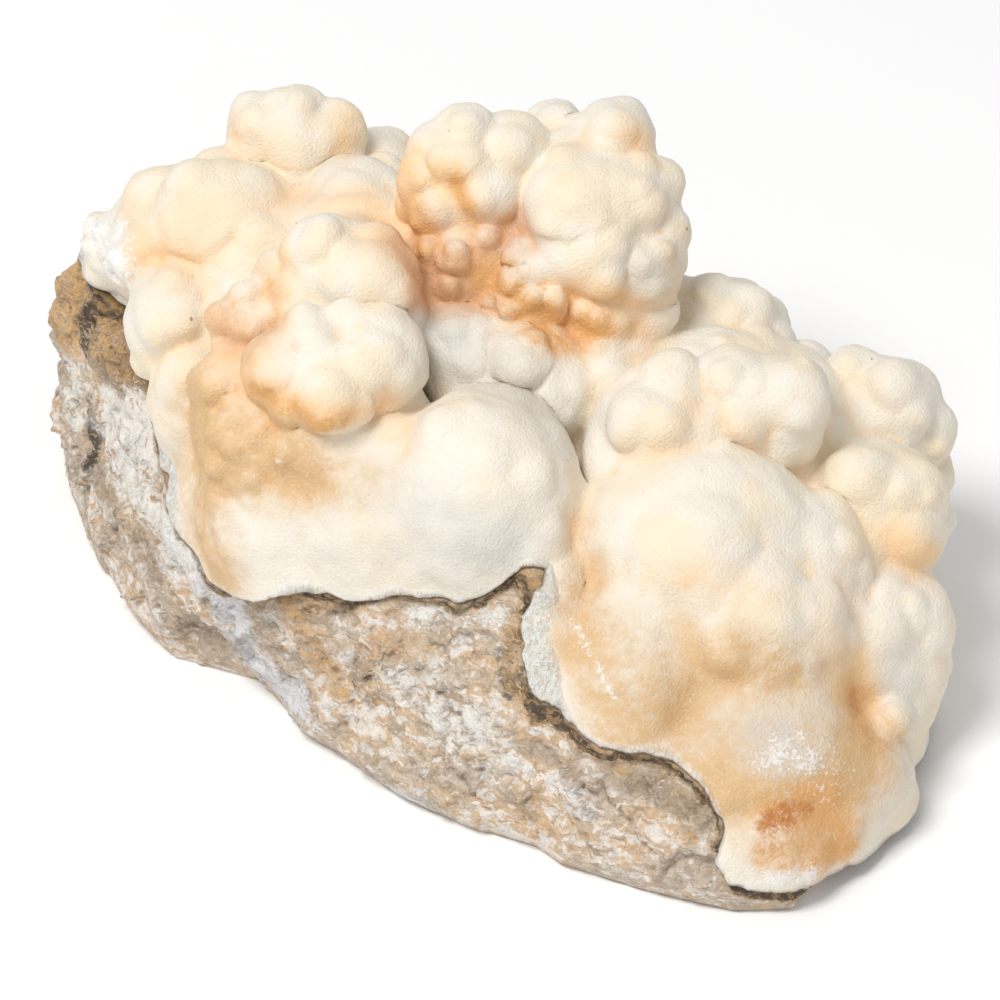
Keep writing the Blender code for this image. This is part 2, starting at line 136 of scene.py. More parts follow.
class Graph:
    """The nodes of one material, with its place in millimetres as the start of every pattern."""

    def __init__(self, name: str) -> None:
        """Makes the material.

        Args:
            name: The material's name.
        """
        self.material = bpy.data.materials.new(name)
        self.material.use_nodes = True
        self.tree = self.material.node_tree
        self.shader = self.tree.nodes["Principled BSDF"]
        metres = self.node("ShaderNodeTexCoord", output="Object")
        self.place = self.node(
            "ShaderNodeVectorMath", {"operation": "SCALE"}, {"Vector": metres, "Scale": 1 / MM}
        )

    def node(
        self,
        kind: str,
        settings: Mapping[str, object] | None = None,
        inputs: Mapping[int | str, object] | None = None,
        output: int | str = 0,
    ) -> Wire:
        """Adds any node.

        Args:
            kind: The node's type.
            settings: Its properties, set before its sockets.
            inputs: The value or the Wire of each of its inputs, by index or name.
            output: Which of its outputs is wanted.

        Returns:
            The wanted output.
        """
        item = self.tree.nodes.new(kind)
        for name, value in (settings or {}).items():
            setattr(item, name, value)
        for key, value in (inputs or {}).items():
            self.feed(item.inputs[key], value)
        return Wire(self, item.outputs[output])

    def feed(self, socket: bpy.types.NodeSocket, value: object) -> None:
        """Links a Wire to the socket, or sets the socket to a number, colour or vector."""
        if isinstance(value, Wire):
            self.tree.links.new(value.socket, socket)
        elif socket.type == "RGBA":
            socket.default_value = (*value, 1.0)
        else:
            socket.default_value = value

    def set_shader(self, inputs: Mapping[str, object]) -> None:
        """Sets or links inputs of the material's shader by name."""
        for name, value in inputs.items():
            self.feed(self.shader.inputs[name], value)

    def mix(self, factor: Value, under: object, over: object) -> Wire:
        """Lays one colour over another by the factor."""
        settings = {"data_type": "RGBA"}
        return self.node("ShaderNodeMix", settings, {0: factor, 6: under, 7: over}, output=2)

    def vectors(self, operation: str, first: object, second: object) -> Wire:
        """The vector that a Vector Math node makes of two."""
        settings = {"operation": operation}
        return self.node("ShaderNodeVectorMath", settings, {0: first, 1: second})

    def stretch(self, ways: Triple, place: Wire | None = None) -> Wire:
        """The place, multiplied along each axis."""
        return self.vectors("MULTIPLY", place or self.place, ways)

    def facets(self, scale: float, place: Wire) -> Wire:
        """The height, in millimetres, of flat facets that each tilt another way.

        Args:
            scale: How many facets fit in a millimetre.
            place: Where they lie.

        Returns:
            The height.
        """
        middle = self.cells(scale, output="Position", place=place)
        away = self.vectors("SUBTRACT", place, middle)
        tilt = self.vectors("SUBTRACT", middle.other("Color"), (0.5, 0.5, 0.5))
        return self.vectors("DOT_PRODUCT", away, tilt).other("Value")

    def warp(self, amount: float, scale: float) -> Wire:
        """The place, pushed about by a soft noise.

        Args:
            amount: The largest push, in millimetres.
            scale: How many swells of the push fit in a millimetre.

        Returns:
            The pushed place.
        """
        inputs = {"Vector": self.place, "Scale": scale, "Detail": 2.0}
        push = self.node("ShaderNodeTexNoise", {}, inputs, output="Color")
        centred = self.vectors("SUBTRACT", push, (0.5, 0.5, 0.5))
        return self.vectors("ADD", self.place, self.stretch((2 * amount,) * 3, centred))

    def clouds(
        self, scale: float, detail: float = 3.0, rough: float = 0.5, place: Wire | None = None
    ) -> Wire:
        """Fractal noise of this many swells in a millimetre, from about 0.25 to 0.75."""
        inputs = {
            "Vector": place or self.place, "Scale": scale, "Detail": detail, "Roughness": rough,
        }
        return self.node("ShaderNodeTexNoise", {}, inputs)

    def cells(
        self,
        scale: float,
        feature: str = "F1",
        output: str = "Distance",
        place: Wire | None = None,
    ) -> Wire:
        """A value of the nearest of scattered points, this many of them in a millimetre."""
        inputs = {"Vector": place or self.place, "Scale": scale}
        return self.node("ShaderNodeTexVoronoi", {"feature": feature}, inputs, output)

    def rise(self, value: Value, low: float, high: float) -> Wire:
        """A smooth step from 0 at low to 1 at high."""
        settings = {"interpolation_type": "SMOOTHSTEP"}
        inputs = {"Value": value, "From Min": low, "From Max": high}
        return self.node("ShaderNodeMapRange", settings, inputs)

    def kept(self, name: str) -> Wire:
        """The value that the mesh keeps at its points under this name."""
        return self.node("ShaderNodeAttribute", {"attribute_name": name}, output="Fac")

    def bump(self, height: Value, distance: float, strength: float = 1.0) -> Wire:
        """A normal tilted by this height, which spans distance millimetres."""
        inputs = {"Height": height, "Distance": distance * MM, "Strength": strength}
        return self.node("ShaderNodeBump", {}, inputs)


@dataclass(frozen=True)
class SeenFrame:
    """The frame of someone who looks down on the specimen: across, up and toward."""

    tilt: float = math.radians(40)
    origin_height: float = 24.4
    distance: float = 1000.0

    def matrix(self) -> Matrix:
        """The matrix from this frame to the model's own, both in millimetres."""
        turn = Matrix.Rotation(math.pi / 2 - self.tilt, 4, "X")
        return Matrix.Translation((0, 0, self.origin_height)) @ turn

    def seen(self, places: np.ndarray) -> np.ndarray:
        """Where points of the model lie in this frame.

        Args:
            places: Rows of x, y and z.

        Returns:
            Rows of across, up and toward, with across and up as the viewer's distance shows them.
        """
        back = np.array(self.matrix().inverted())
        seen = places @ back[:3, :3].T + back[:3, 3]
        nearness = self.distance / (self.distance - seen[:, 2:])
        return np.hstack([seen[:, :2] * nearness, seen[:, 2:]])


SEEN = SeenFrame()


class Tint(Enum):
    """A colour laid in patches; on the crust the tan and the cool grey are partly painted shade. The
    value is the name that the mesh keeps it by.
    """

    PEACH = "peach"
    AMBER = "amber"
    ROSE = "rose"
    TAN = "tan"
    RUST = "rust"
    CHALK = "chalk"
    SELVAGE = "selvage"
    GRAPES = "grapes"
    FROST = "frost"
    PLAIN = "plain"
    SEAM = "seam"
    GOLD = "gold"
    SOOT = "soot"
    BROWN = "brown"
    SNOW = "snow"
    HAZE = "haze"


@dataclass(frozen=True)
class Patch:
    """A stretch of one tint on the near side.

    Attributes:
        tint: What the patch is of.
        line: The (across, up) points that it runs through.
        width: How far it spreads to each side of its line.
        amount: Its strength, or for a seam or a selvage its breadth in millimetres.
    """

    tint: Tint
    line: tuple[Pair, ...]
    width: float
    amount: float = 1.0


class Skin:
    """The points of a mesh as arrays, in millimetres, with sums over neighbouring points."""

    FIND_WITHIN = 1.1
    LINE_STEP = 1.2

    def __init__(self, mesh: bpy.types.Mesh) -> None:
        """Reads the mesh.

        Args:
            mesh: The mesh, still in millimetres.
        """
        self.mesh = mesh
        self.places = self._read(mesh.vertices, "co", 3)
        self.normals = self._read(mesh.vertices, "normal", 3)
        ends = np.zeros(2 * len(mesh.edges), np.int32)
        mesh.edges.foreach_get("vertices", ends)
        self.edges = ends.reshape(-1, 2)
        self.degree = np.bincount(ends, minlength=len(self.places)).astype(float)

    @staticmethod
    def _read(items: bpy.types.bpy_prop_collection, name: str, width: int) -> np.ndarray:
        """One property of every item, as rows of this width."""
        values = np.zeros(width * len(items))
        items.foreach_get(name, values)
        return values.reshape(-1, width)

    def spread(self, values: np.ndarray, rounds: int) -> np.ndarray:
        """Averages values with those of the neighbouring points.

        Args:
            values: One row for each point.
            rounds: How many times to average.

        Returns:
            The averaged values, in the same shape.
        """
        rows = values.reshape(len(values), -1).copy()
        start, end = self.edges.T
        count = len(rows)
        for _ in range(rounds):
            for column in rows.T:
                near = np.bincount(start, column[end], count) + np.bincount(end, column[start], count)
                column[:] = 0.5 * column + 0.5 * near / self.degree
        return rows.reshape(values.shape)

    def hollows(self, rounds: int) -> np.ndarray:
        """How deep each point lies under its averaged neighbourhood, in millimetres."""
        return np.einsum("ij,ij->i", self.spread(self.places, rounds) - self.places, self.normals)

    def each(self, measure: Callable[[Vector], float]) -> np.ndarray:
        """A measure of every point's place."""
        return np.array([measure(Vector(place)) for place in self.places])

    def push(self, amounts: np.ndarray) -> None:
        """Moves every point along its normal by its amount, and reads the new normals."""
        self.places += self.normals * amounts[:, None]
        self.mesh.vertices.foreach_set("co", self.places.ravel())
        self.mesh.update()
        self.normals = self._read(self.mesh.vertices, "normal", 3)

    def domes(
        self, knobs: Sequence[Triple], rise: Callable[[float], float]
    ) -> np.ndarray:
        """The height of round caps that meet in sharp creases.

        Args:
            knobs: The (across, up, radius) of each cap on the near side.
            rise: The height of a cap of this radius.

        Returns:
            The height at each point.
        """
        seen = SEEN.seen(self.places)
        total = np.zeros(len(seen))
        for across, up, radius in knobs:
            away = np.hypot(seen[:, 0] - across, seen[:, 1] - up)
            near = np.flatnonzero(away < max(self.FIND_WITHIN, away.min() + 0.3))
            middle = self.places[near[seen[near, 2].argmax()]]
            gap = np.sum((self.places - middle) ** 2, axis=1) / radius**2
            total = np.maximum(total, rise(radius) * (1.0 - gap))
        return total

    def strength(self, patches: Sequence[Patch], tint: Tint) -> np.ndarray:
        """How much of a tint each point has from the patches of it.

        Args:
            patches: Patches of any tint.
            tint: The one that is wanted.

        Returns:
            A value for each point, where overlapping patches add up but for what they share.
        """
        seen = SEEN.seen(self.places)
        left = np.ones(len(seen))
        most = max([patch.amount for patch in patches if patch.tint is tint], default=1.0)
        for patch in patches:
            if patch.tint is tint:
                near = self._nearness(seen, patch)
                left *= 1.0 - near * patch.amount / most * 0.999
        return (1.0 - left) * most

    def _nearness(self, seen: np.ndarray, patch: Patch) -> np.ndarray:
        """How near each point is to the patch's line, laid on what the viewer sees there."""
        gap = np.full(len(seen), np.inf)
        for across, up in self._steps(patch.line):
            away = np.hypot(seen[:, 0] - across, seen[:, 1] - up)
            here = away < self.FIND_WITHIN
            if not here.any():
                continue
            toward = seen[here, 2].max()
            gap = np.minimum(gap, away**2 + (0.7 * (seen[:, 2] - toward)) ** 2)
        return np.exp(-gap / patch.width**2)

    def _steps(self, line: Sequence[Pair]) -> Iterator[Pair]:
        """Evenly stepped points along a line, with its ends."""
        yield line[0]
        for (a, b), (c, d) in zip(line, line[1:]):
            steps = max(1, round(math.hypot(c - a, d - b) / self.LINE_STEP))
            for step in range(1, steps + 1):
                yield a + (c - a) * step / steps, b + (d - b) * step / steps

    def keep(self, name: str, values: np.ndarray) -> None:
        """Stores a value for every point in the mesh under a name."""
        self.mesh.attributes.new(name, "FLOAT", "POINT").data.foreach_set(
            "value", values.astype(np.float32)
        )


def link_object(name: str, mesh: bpy.types.Mesh) -> bpy.types.Object:
    """Links a mesh made in millimetres as an object, in metres.

    Args:
        name: The object's name.
        mesh: Its mesh, which is scaled.

    Returns:
        The object.
    """
    mesh.transform(Matrix.Scale(MM, 4))
    item = bpy.data.objects.new(name, mesh)
    bpy.context.scene.collection.objects.link(item)
    return item


def keep_largest(mesh: bpy.types.Mesh) -> None:
    """Drops every shell but the largest, and splits every face in triangles."""
    shape = bmesh.new()
    shape.from_mesh(mesh)
    left = set(shape.faces)
    shells = []
    while left:
        shell = [left.pop()]
        for face in shell:
            for edge in face.edges:
                for other in edge.link_faces:
                    if other in left:
                        left.remove(other)
                        shell.append(other)
        shells.append(shell)
    largest = max(shells, key=len)
    pockets = [face for shell in shells if shell is not largest for face in shell]
    bmesh.ops.delete(shape, geom=pockets, context="FACES")
    bmesh.ops.triangulate(shape, faces=shape.faces)
    shape.to_mesh(mesh)
    shape.free()


def carve(name: str, mesh: bpy.types.Mesh, cutter: bpy.types.Mesh, operation: str) -> bpy.types.Mesh:
    """Cuts one mesh by another.

    Args:
        name: The name of the new mesh.
        mesh: The closed mesh to cut, which is used up.
        cutter: The closed mesh to cut it by, which is used up.
        operation: The Boolean's operation.

    Returns:
        The cut mesh.
    """
    scene = bpy.context.scene.collection.objects
    item = bpy.data.objects.new("carved", mesh)
    tool = bpy.data.objects.new("cutter", cutter)
    scene.link(item)
    scene.link(tool)
    boolean = item.modifiers.new(name, "BOOLEAN")
    boolean.solver = "MANIFOLD"
    boolean.operation = operation
    boolean.object = tool
    graph = bpy.context.evaluated_depsgraph_get()
    carved = bpy.data.meshes.new_from_object(item.evaluated_get(graph))
    carved.name = name
    for used in (item, tool):
        bpy.data.objects.remove(used)
    keep_largest(carved)
    return carved


@dataclass(frozen=True)
class Bed:
    """The sheet along which crust and stone part, bent through known points.

    Attributes:
        points: The (x, y, height) points that it passes through.
        gap: The slit between stone and crust.
        half_span: Half the side of the square that it is made over.
        cell: The side of one square of its mesh.
        depth: How far down the space under it reaches.
        limits: Its lowest and highest height.
        waves: The length and height of the ripples on it.
        bumps: Local swells, as x, y, radius and rise.
    """

    points: tuple[Triple, ...] = (
        (-35.6, -8.8, 17.0), (-31.1, -10.2, 19.3), (-26.1, -11.9, 22.1), (-19.8, -15.7, 21.2),
        (-14.8, -17.1, 23.9), (-5.0, -20.5, 25.6), (3.5, -22.6, 30.6), (1.8, -27.2, 24.9),
        (3.7, -32.2, 19.4), (6.8, -34.9, 17.8), (17.1, -40.0, 16.6), (25.6, -46.7, 11.1),
        (26.8, -49.0, 6.7), (36.5, -50.1, 3.2), (44.0, -40.0, 2.4), (50.0, -26.0, 2.2),
        (53.0, -8.0, 2.4), (50.0, 10.0, 3.0), (42.0, 25.0, 4.0), (28.0, 38.0, 6.5),
        (8.0, 47.0, 10.0), (-14.0, 49.0, 15.0), (-34.0, 48.0, 21.0), (-50.0, 44.0, 29.0),
        (-55.5, 38.0, 33.6), (-50.0, 32.0, 30.6), (-45.0, 20.0, 27.0), (-43.2, 11.0, 24.0),
        (-40.3, 0.0, 21.0), (-20.0, 10.0, 20.0), (10.0, 15.0, 12.0), (28.0, -20.0, 7.0),
    )
    gap: float = 0.35
    half_span: float = 65.0
    cell: float = 1.3
    depth: float = 60.0
    limits: Pair = (1.5, 40.0)
    waves: tuple[Pair, ...] = ((6.5, 0.45), (2.6, 0.3))
    bumps: tuple[tuple[float, float, float, float], ...] = ((-56.5, 37.5, 3.2, 2.2),)

    def heights(self, places: np.ndarray) -> np.ndarray:
        """The sheet's height over each (x, y), without its ripples."""
        points = np.array(self.points)

        def bend(a: np.ndarray, b: np.ndarray) -> np.ndarray:
            """How much each point of b bends the plate at each point of a."""
            gap = np.linalg.norm(a[:, None, :] - b[None, :, :], axis=2)
            return gap**2 * np.log(gap + 1e-9)

        ones = np.ones((len(points), 1))
        flat = np.hstack([ones, points[:, :2]])
        inner = bend(points[:, :2], points[:, :2])
        system = np.block([[inner, flat], [flat.T, np.zeros((3, 3))]])
        weights = np.linalg.solve(system, np.concatenate([points[:, 2], np.zeros(3)]))
        flat = np.hstack([np.ones((len(places), 1)), places])
        heights = bend(places, points[:, :2]) @ weights[:-3] + flat @ weights[-3:]
        return np.clip(heights, *self.limits)

    def ripples(self, places: np.ndarray) -> np.ndarray:
        """What the ripples add to the sheet's height over each (x, y)."""
        total = np.zeros(len(places))
        for length, rise in self.waves:
            total += [rise * noise.noise((x / length, y / length, rise)) for x, y in places]
        for x, y, radius, rise in self.bumps:
            away = np.hypot(places[:, 0] - x, places[:, 1] - y)
            total += rise * np.exp(-((away / radius) ** 2))
        return total

    def space_under(self, lift: float) -> bpy.types.Mesh:
        """The block of space under the sheet, with its top raised by lift."""
        steps = round(2 * self.half_span / self.cell)
        shape = bmesh.new()
        bmesh.ops.create_grid(shape, x_segments=steps, y_segments=steps, size=self.half_span)
        shape.verts.ensure_lookup_table()
        places = np.array([vert.co.xy for vert in shape.verts])
        heights = self.heights(places) + self.ripples(places)
        for vert, height in zip(shape.verts, heights):
            vert.co.z = height + lift
        bmesh.ops.triangulate(shape, faces=shape.faces, quad_method="FIXED")
        lower = bmesh.ops.extrude_face_region(shape, geom=shape.faces[:])["geom"]
        for part in lower:
            if isinstance(part, bmesh.types.BMVert):
                part.co.z = -self.depth
        bmesh.ops.recalc_face_normals(shape, faces=shape.faces)
        mesh = bpy.data.meshes.new("space_under_bed")
        shape.to_mesh(mesh)
        shape.free()
        return mesh


class Character(Enum):
    """How firmly a lobe keeps its outline, and how far its knobs stand proud of it."""

    BOLD = (2.5, 1.3)
    MILD = (2.5, 0.8)
    GENTLE = (1.0, 0.6)


@dataclass(frozen=True)
class Lobe:
    """One rounded mass of the crust.

    Attributes:
        centre: Its middle.
        reach: Its half sizes along the axes that the centre is given in.
        character: Bold or gentle.
        knobs: Its (across, up, radius) knobs on the near side.
    """

    centre: Triple
    reach: Triple
    character: Character = Character.BOLD
    knobs: tuple[Triple, ...] = ()


SOFT = Character.GENTLE
MILD = Character.MILD
FIRM = Character.BOLD

SEEN_LOBES = {
    "back_left_mound": Lobe(
        (-36.6, 32.6, -17.0), (13.2, 10.6, 12.0), MILD,
        ((-44.0, 38.2, 3.8), (-46.2, 30.6, 3.6), (-35.6, 41.4, 3.4), (-38.6, 36.4, 5.0),
         (-31.5, 34.5, 4.0), (-38.5, 28.6, 3.8)),
    ),
    "back_left_cap": Lobe(
        (-26.2, 46.2, -17.0), (8.0, 4.9, 6.5), MILD,
        ((-31.0, 48.0, 3.4), (-25.0, 49.6, 3.0), (-20.4, 47.2, 3.6), (-31.4, 45.0, 3.4),
         (-25.8, 44.4, 3.8), (-21.0, 43.6, 3.4), (-28.3, 49.6, 2.4)),
    ),
    "back_saddle": Lobe(
        (-20.0, 36.0, -18.0), (10.0, 7.5, 8.0), MILD,
        ((-14.8, 38.6, 4.6), (-20.8, 38.4, 4.4), (-25.6, 36.4, 3.8), (-17.0, 34.2, 4.8)),
    ),
    "back_far_lump": Lobe((-16.0, 41.4, -23.0), (6.2, 5.6, 6.4)),
    "second_lobe": Lobe(
        (-19.2, 26.4, 2.4), (9.2, 8.2, 9.0), FIRM,
        ((-21.9, 31.4, 4.0), (-16.0, 27.4, 6.0), (-13.4, 23.0, 4.2), (-27.4, 28.2, 3.2),
         (-24.4, 30.2, 2.9), (-25.0, 24.4, 3.6)),
    ),
    "left_cluster": Lobe(
        (-31.0, 21.4, 3.6), (4.8, 5.4, 5.2), FIRM,
        ((-34.3, 22.4, 2.2), (-31.6, 25.2, 2.2), (-31.2, 21.6, 2.0), (-33.6, 18.8, 2.1),
         (-28.8, 23.2, 1.8), (-29.6, 18.8, 1.7)),
    ),
    "front_head": Lobe(
        (-20.6, 15.4, 10.0), (10.0, 6.2, 7.6), FIRM,
        ((-23.4, 19.6, 4.4), (-15.2, 17.2, 6.4), (-20.8, 13.2, 5.2), (-27.2, 16.0, 4.8),
         (-12.6, 11.4, 3.6), (-28.4, 16.4, 3.4), (-25.8, 11.6, 2.8), (-19.2, 20.4, 3.4)),
    ),
    "left_shoulder": Lobe((-32.6, 10.0, 3.0), (5.8, 7.0, 6.0), FIRM, ((-35.4, 13.8, 3.2),)),
    "front_body_left": Lobe((-26.2, -1.2, 2.0), (11.8, 12.8, 10.4), SOFT, ((-32.0, 3.6, 3.0),)),
    "front_body_middle": Lobe((-13.6, -1.0, 8.0), (11.4, 12.0, 10.0), SOFT),
    "front_body_right": Lobe(
        (-2.2, 0.2, 12.0), (12.2, 13.4, 12.0), SOFT,
        ((-1.9, 4.6, 4.2), (-6.4, 7.6, 3.6), (3.4, 2.6, 3.6), (4.4, -4.6, 3.8)),
    ),
    "front_fold": Lobe((6.4, -18.0, 14.4), (5.0, 12.4, 8.4)),
    "left_end": Lobe((-49.2, 31.8, -20.0), (4.0, 4.4, 4.6), SOFT),
    "left_flank_top": Lobe((-40.9, 22.6, -8.0), (6.0, 7.8, 7.0)),
    "left_flank_middle": Lobe((-38.8, 12.5, -5.0), (5.0, 8.4, 6.5)),
    "left_flank_foot": Lobe((-35.8, 1.8, -3.6), (5.0, 9.4, 6.2)),
    "central_lobe": Lobe(
        (11.4, 33.4, -4.0), (11.2, 14.0, 12.0), FIRM,
        ((6.9, 46.4, 3.8), (14.2, 45.2, 5.2), (9.4, 36.1, 7.6), (15.6, 37.0, 5.8),
         (17.2, 29.6, 5.6), (20.1, 33.1, 3.6), (19.3, 39.4, 3.6), (12.2, 23.6, 5.6),
         (7.3, 30.0, 5.0), (17.0, 23.0, 4.4), (11.6, 30.0, 5.0)),
    ),
    "central_bunch": Lobe(
        (-3.8, 39.6, -1.0), (8.0, 8.6, 8.0), FIRM,
        ((-4.4, 45.8, 3.8), (1.3, 43.6, 4.8), (-8.0, 43.9, 3.2), (-9.5, 40.1, 3.2),
         (-2.1, 38.2, 4.4), (-8.0, 36.0, 3.4), (-11.0, 36.6, 1.9), (-5.4, 42.0, 3.4)),
    ),
    "central_valley": Lobe(
        (-3.8, 30.4, 0.6), (8.0, 6.4, 5.6), FIRM,
        ((-8.8, 31.0, 1.8), (-10.2, 28.6, 1.5), (-5.6, 30.2, 2.3), (-6.2, 26.9, 1.9),
         (-1.8, 32.6, 1.8)),
    ),
    "central_grapes": Lobe(
        (4.0, 26.6, 2.4), (5.4, 6.4, 5.0), FIRM,
        ((2.5, 30.5, 2.1), (5.8, 28.4, 2.0), (1.3, 27.2, 1.6), (3.9, 25.2, 1.7),
         (1.7, 23.8, 1.6), (-0.8, 25.0, 1.6), (6.5, 25.0, 1.9), (5.6, 20.2, 2.2)),
    ),
    "central_foot": Lobe(
        (1.6, 14.6, 1.4), (11.0, 9.0, 8.0), FIRM,
        ((-6.2, 20.6, 3.6), (-3.8, 16.4, 4.2), (2.2, 16.8, 4.6), (6.6, 12.8, 5.2)),
    ),
    "central_flank": Lobe((12.6, 15.0, -2.0), (7.4, 10.0, 8.0), FIRM, ((9.6, 7.6, 4.8),)),
    "right_cap": Lobe(
        (31.8, 11.8, 6.0), (8.8, 6.4, 8.0), MILD,
        ((28.6, 14.4, 4.8), (35.6, 12.4, 5.2), (29.6, 8.8, 5.0), (35.2, 8.4, 4.4)),
    ),
    "right_shoulder": Lobe(
        (20.6, 8.0, 6.0), (9.6, 9.2, 10.0), MILD,
        ((21.0, 14.0, 4.4), (17.2, 9.6, 4.4), (14.8, 4.6, 4.4)),
    ),
    "right_body_top": Lobe((24.4, -6.0, 11.0), (15.6, 13.0, 13.0), SOFT),
    "right_body_middle": Lobe(
        (29.6, -17.6, 11.5), (15.0, 13.5, 14.0), SOFT,
        ((38.0, -14.0, 4.2), (33.0, -19.6, 4.2), (27.6, -18.0, 4.4)),
    ),
    "right_body_inner": Lobe((16.4, -22.4, 15.2), (10.6, 14.2, 11.6), SOFT),
    "right_body_foot": Lobe((31.6, -32.8, 16.4), (13.6, 13.8, 10.8), SOFT),
    "right_toe": Lobe((31.8, -42.6, 19.8), (9.2, 7.0, 7.0), SOFT),
    "right_knuckle": Lobe((43.2, -6.4, 8.0), (4.0, 4.0, 4.5)),
    "right_shelf": Lobe(
        (46.4, -1.4, 2.0), (9.0, 8.8, 9.0), MILD,
        ((44.8, 1.8, 5.2), (50.2, -4.4, 5.0), (50.8, 1.0, 4.6)),
    ),
    "far_right_mass": Lobe(
        (46.4, 9.2, -9.0), (9.6, 8.6, 9.0), MILD,
        ((38.9, 16.2, 3.6), (44.8, 15.6, 3.6), (49.6, 12.2, 6.0), (54.0, 8.8, 3.8),
         (54.4, 3.3, 3.2), (54.2, -2.3, 3.0)),
    ),
    "far_middle_mass": Lobe(
        (27.6, 21.7, -13.0), (8.4, 6.6, 8.0), MILD,
        ((22.2, 24.6, 4.0), (27.0, 25.0, 3.6), (31.0, 23.6, 3.4), (33.8, 20.4, 3.2),
         (27.2, 20.8, 4.0)),
    ),
    "right_side": Lobe(
        (46.2, -19.0, 3.0), (9.4, 15.4, 10.0), SOFT,
        ((51.4, -15.0, 5.0), (48.6, -28.1, 3.4)),
    ),
    "right_side_foot": Lobe((41.6, -34.6, 11.0), (9.2, 9.4, 10.2), SOFT),
    "core_left": Lobe((-14.0, 22.0, -10.0), (28.0, 18.0, 14.0)),
    "core_right": Lobe((25.0, 2.0, -6.0), (24.0, 20.0, 15.0)),
}

# Plain masses that fill the hollows between the others, in the seen frame.
FILLERS = (
    Lobe((-30.6, 7.2, 6.4), (7.0, 7.6, 6.4), SOFT),
    Lobe((-21.0, 6.6, 7.4), (9.8, 6.6, 8.4), SOFT),
    Lobe((-26.0, 40.6, -17.0), (8.0, 4.0, 6.0)),
    Lobe((8.4, -9.0, 11.0), (4.2, 5.0, 6.8), SOFT),
    Lobe((0.4, 11.0, 3.6), (9.0, 6.0, 6.4), SOFT),
    Lobe((38.0, -40.0, 14.6), (8.4, 7.4, 8.0), SOFT),
    Lobe((38.4, -8.4, 9.6), (7.2, 9.0, 9.0), SOFT),
    Lobe((43.4, -20.0, 7.6), (7.0, 9.4, 8.0), SOFT),
    Lobe((22.0, -32.0, 17.0), (8.0, 7.0, 7.6), SOFT),
    Lobe((-34.6, 34.2, -12.0), (10.0, 8.2, 8.6)),
    Lobe((-18.2, 36.4, -11.4), (6.8, 6.8, 7.6)),
    Lobe((-5.0, 18.4, 2.4), (5.6, 6.0, 6.2), SOFT),
    Lobe((-32.6, 15.6, 5.0), (4.0, 4.4, 5.0), SOFT),
    Lobe((48.5, -27.2, 12.8), (2.7, 2.8, 2.8)),
    Lobe((-35.2, 14.0, 5.6), (3.4, 3.6, 4.2)),
    Lobe((-28.0, 27.6, 4.2), (2.5, 2.5, 3.0)),
    Lobe((-20.6, 20.2, 13.0), (2.6, 2.4, 2.8)),
    Lobe((-25.8, 24.0, 6.4), (2.4, 2.4, 2.8)),
)

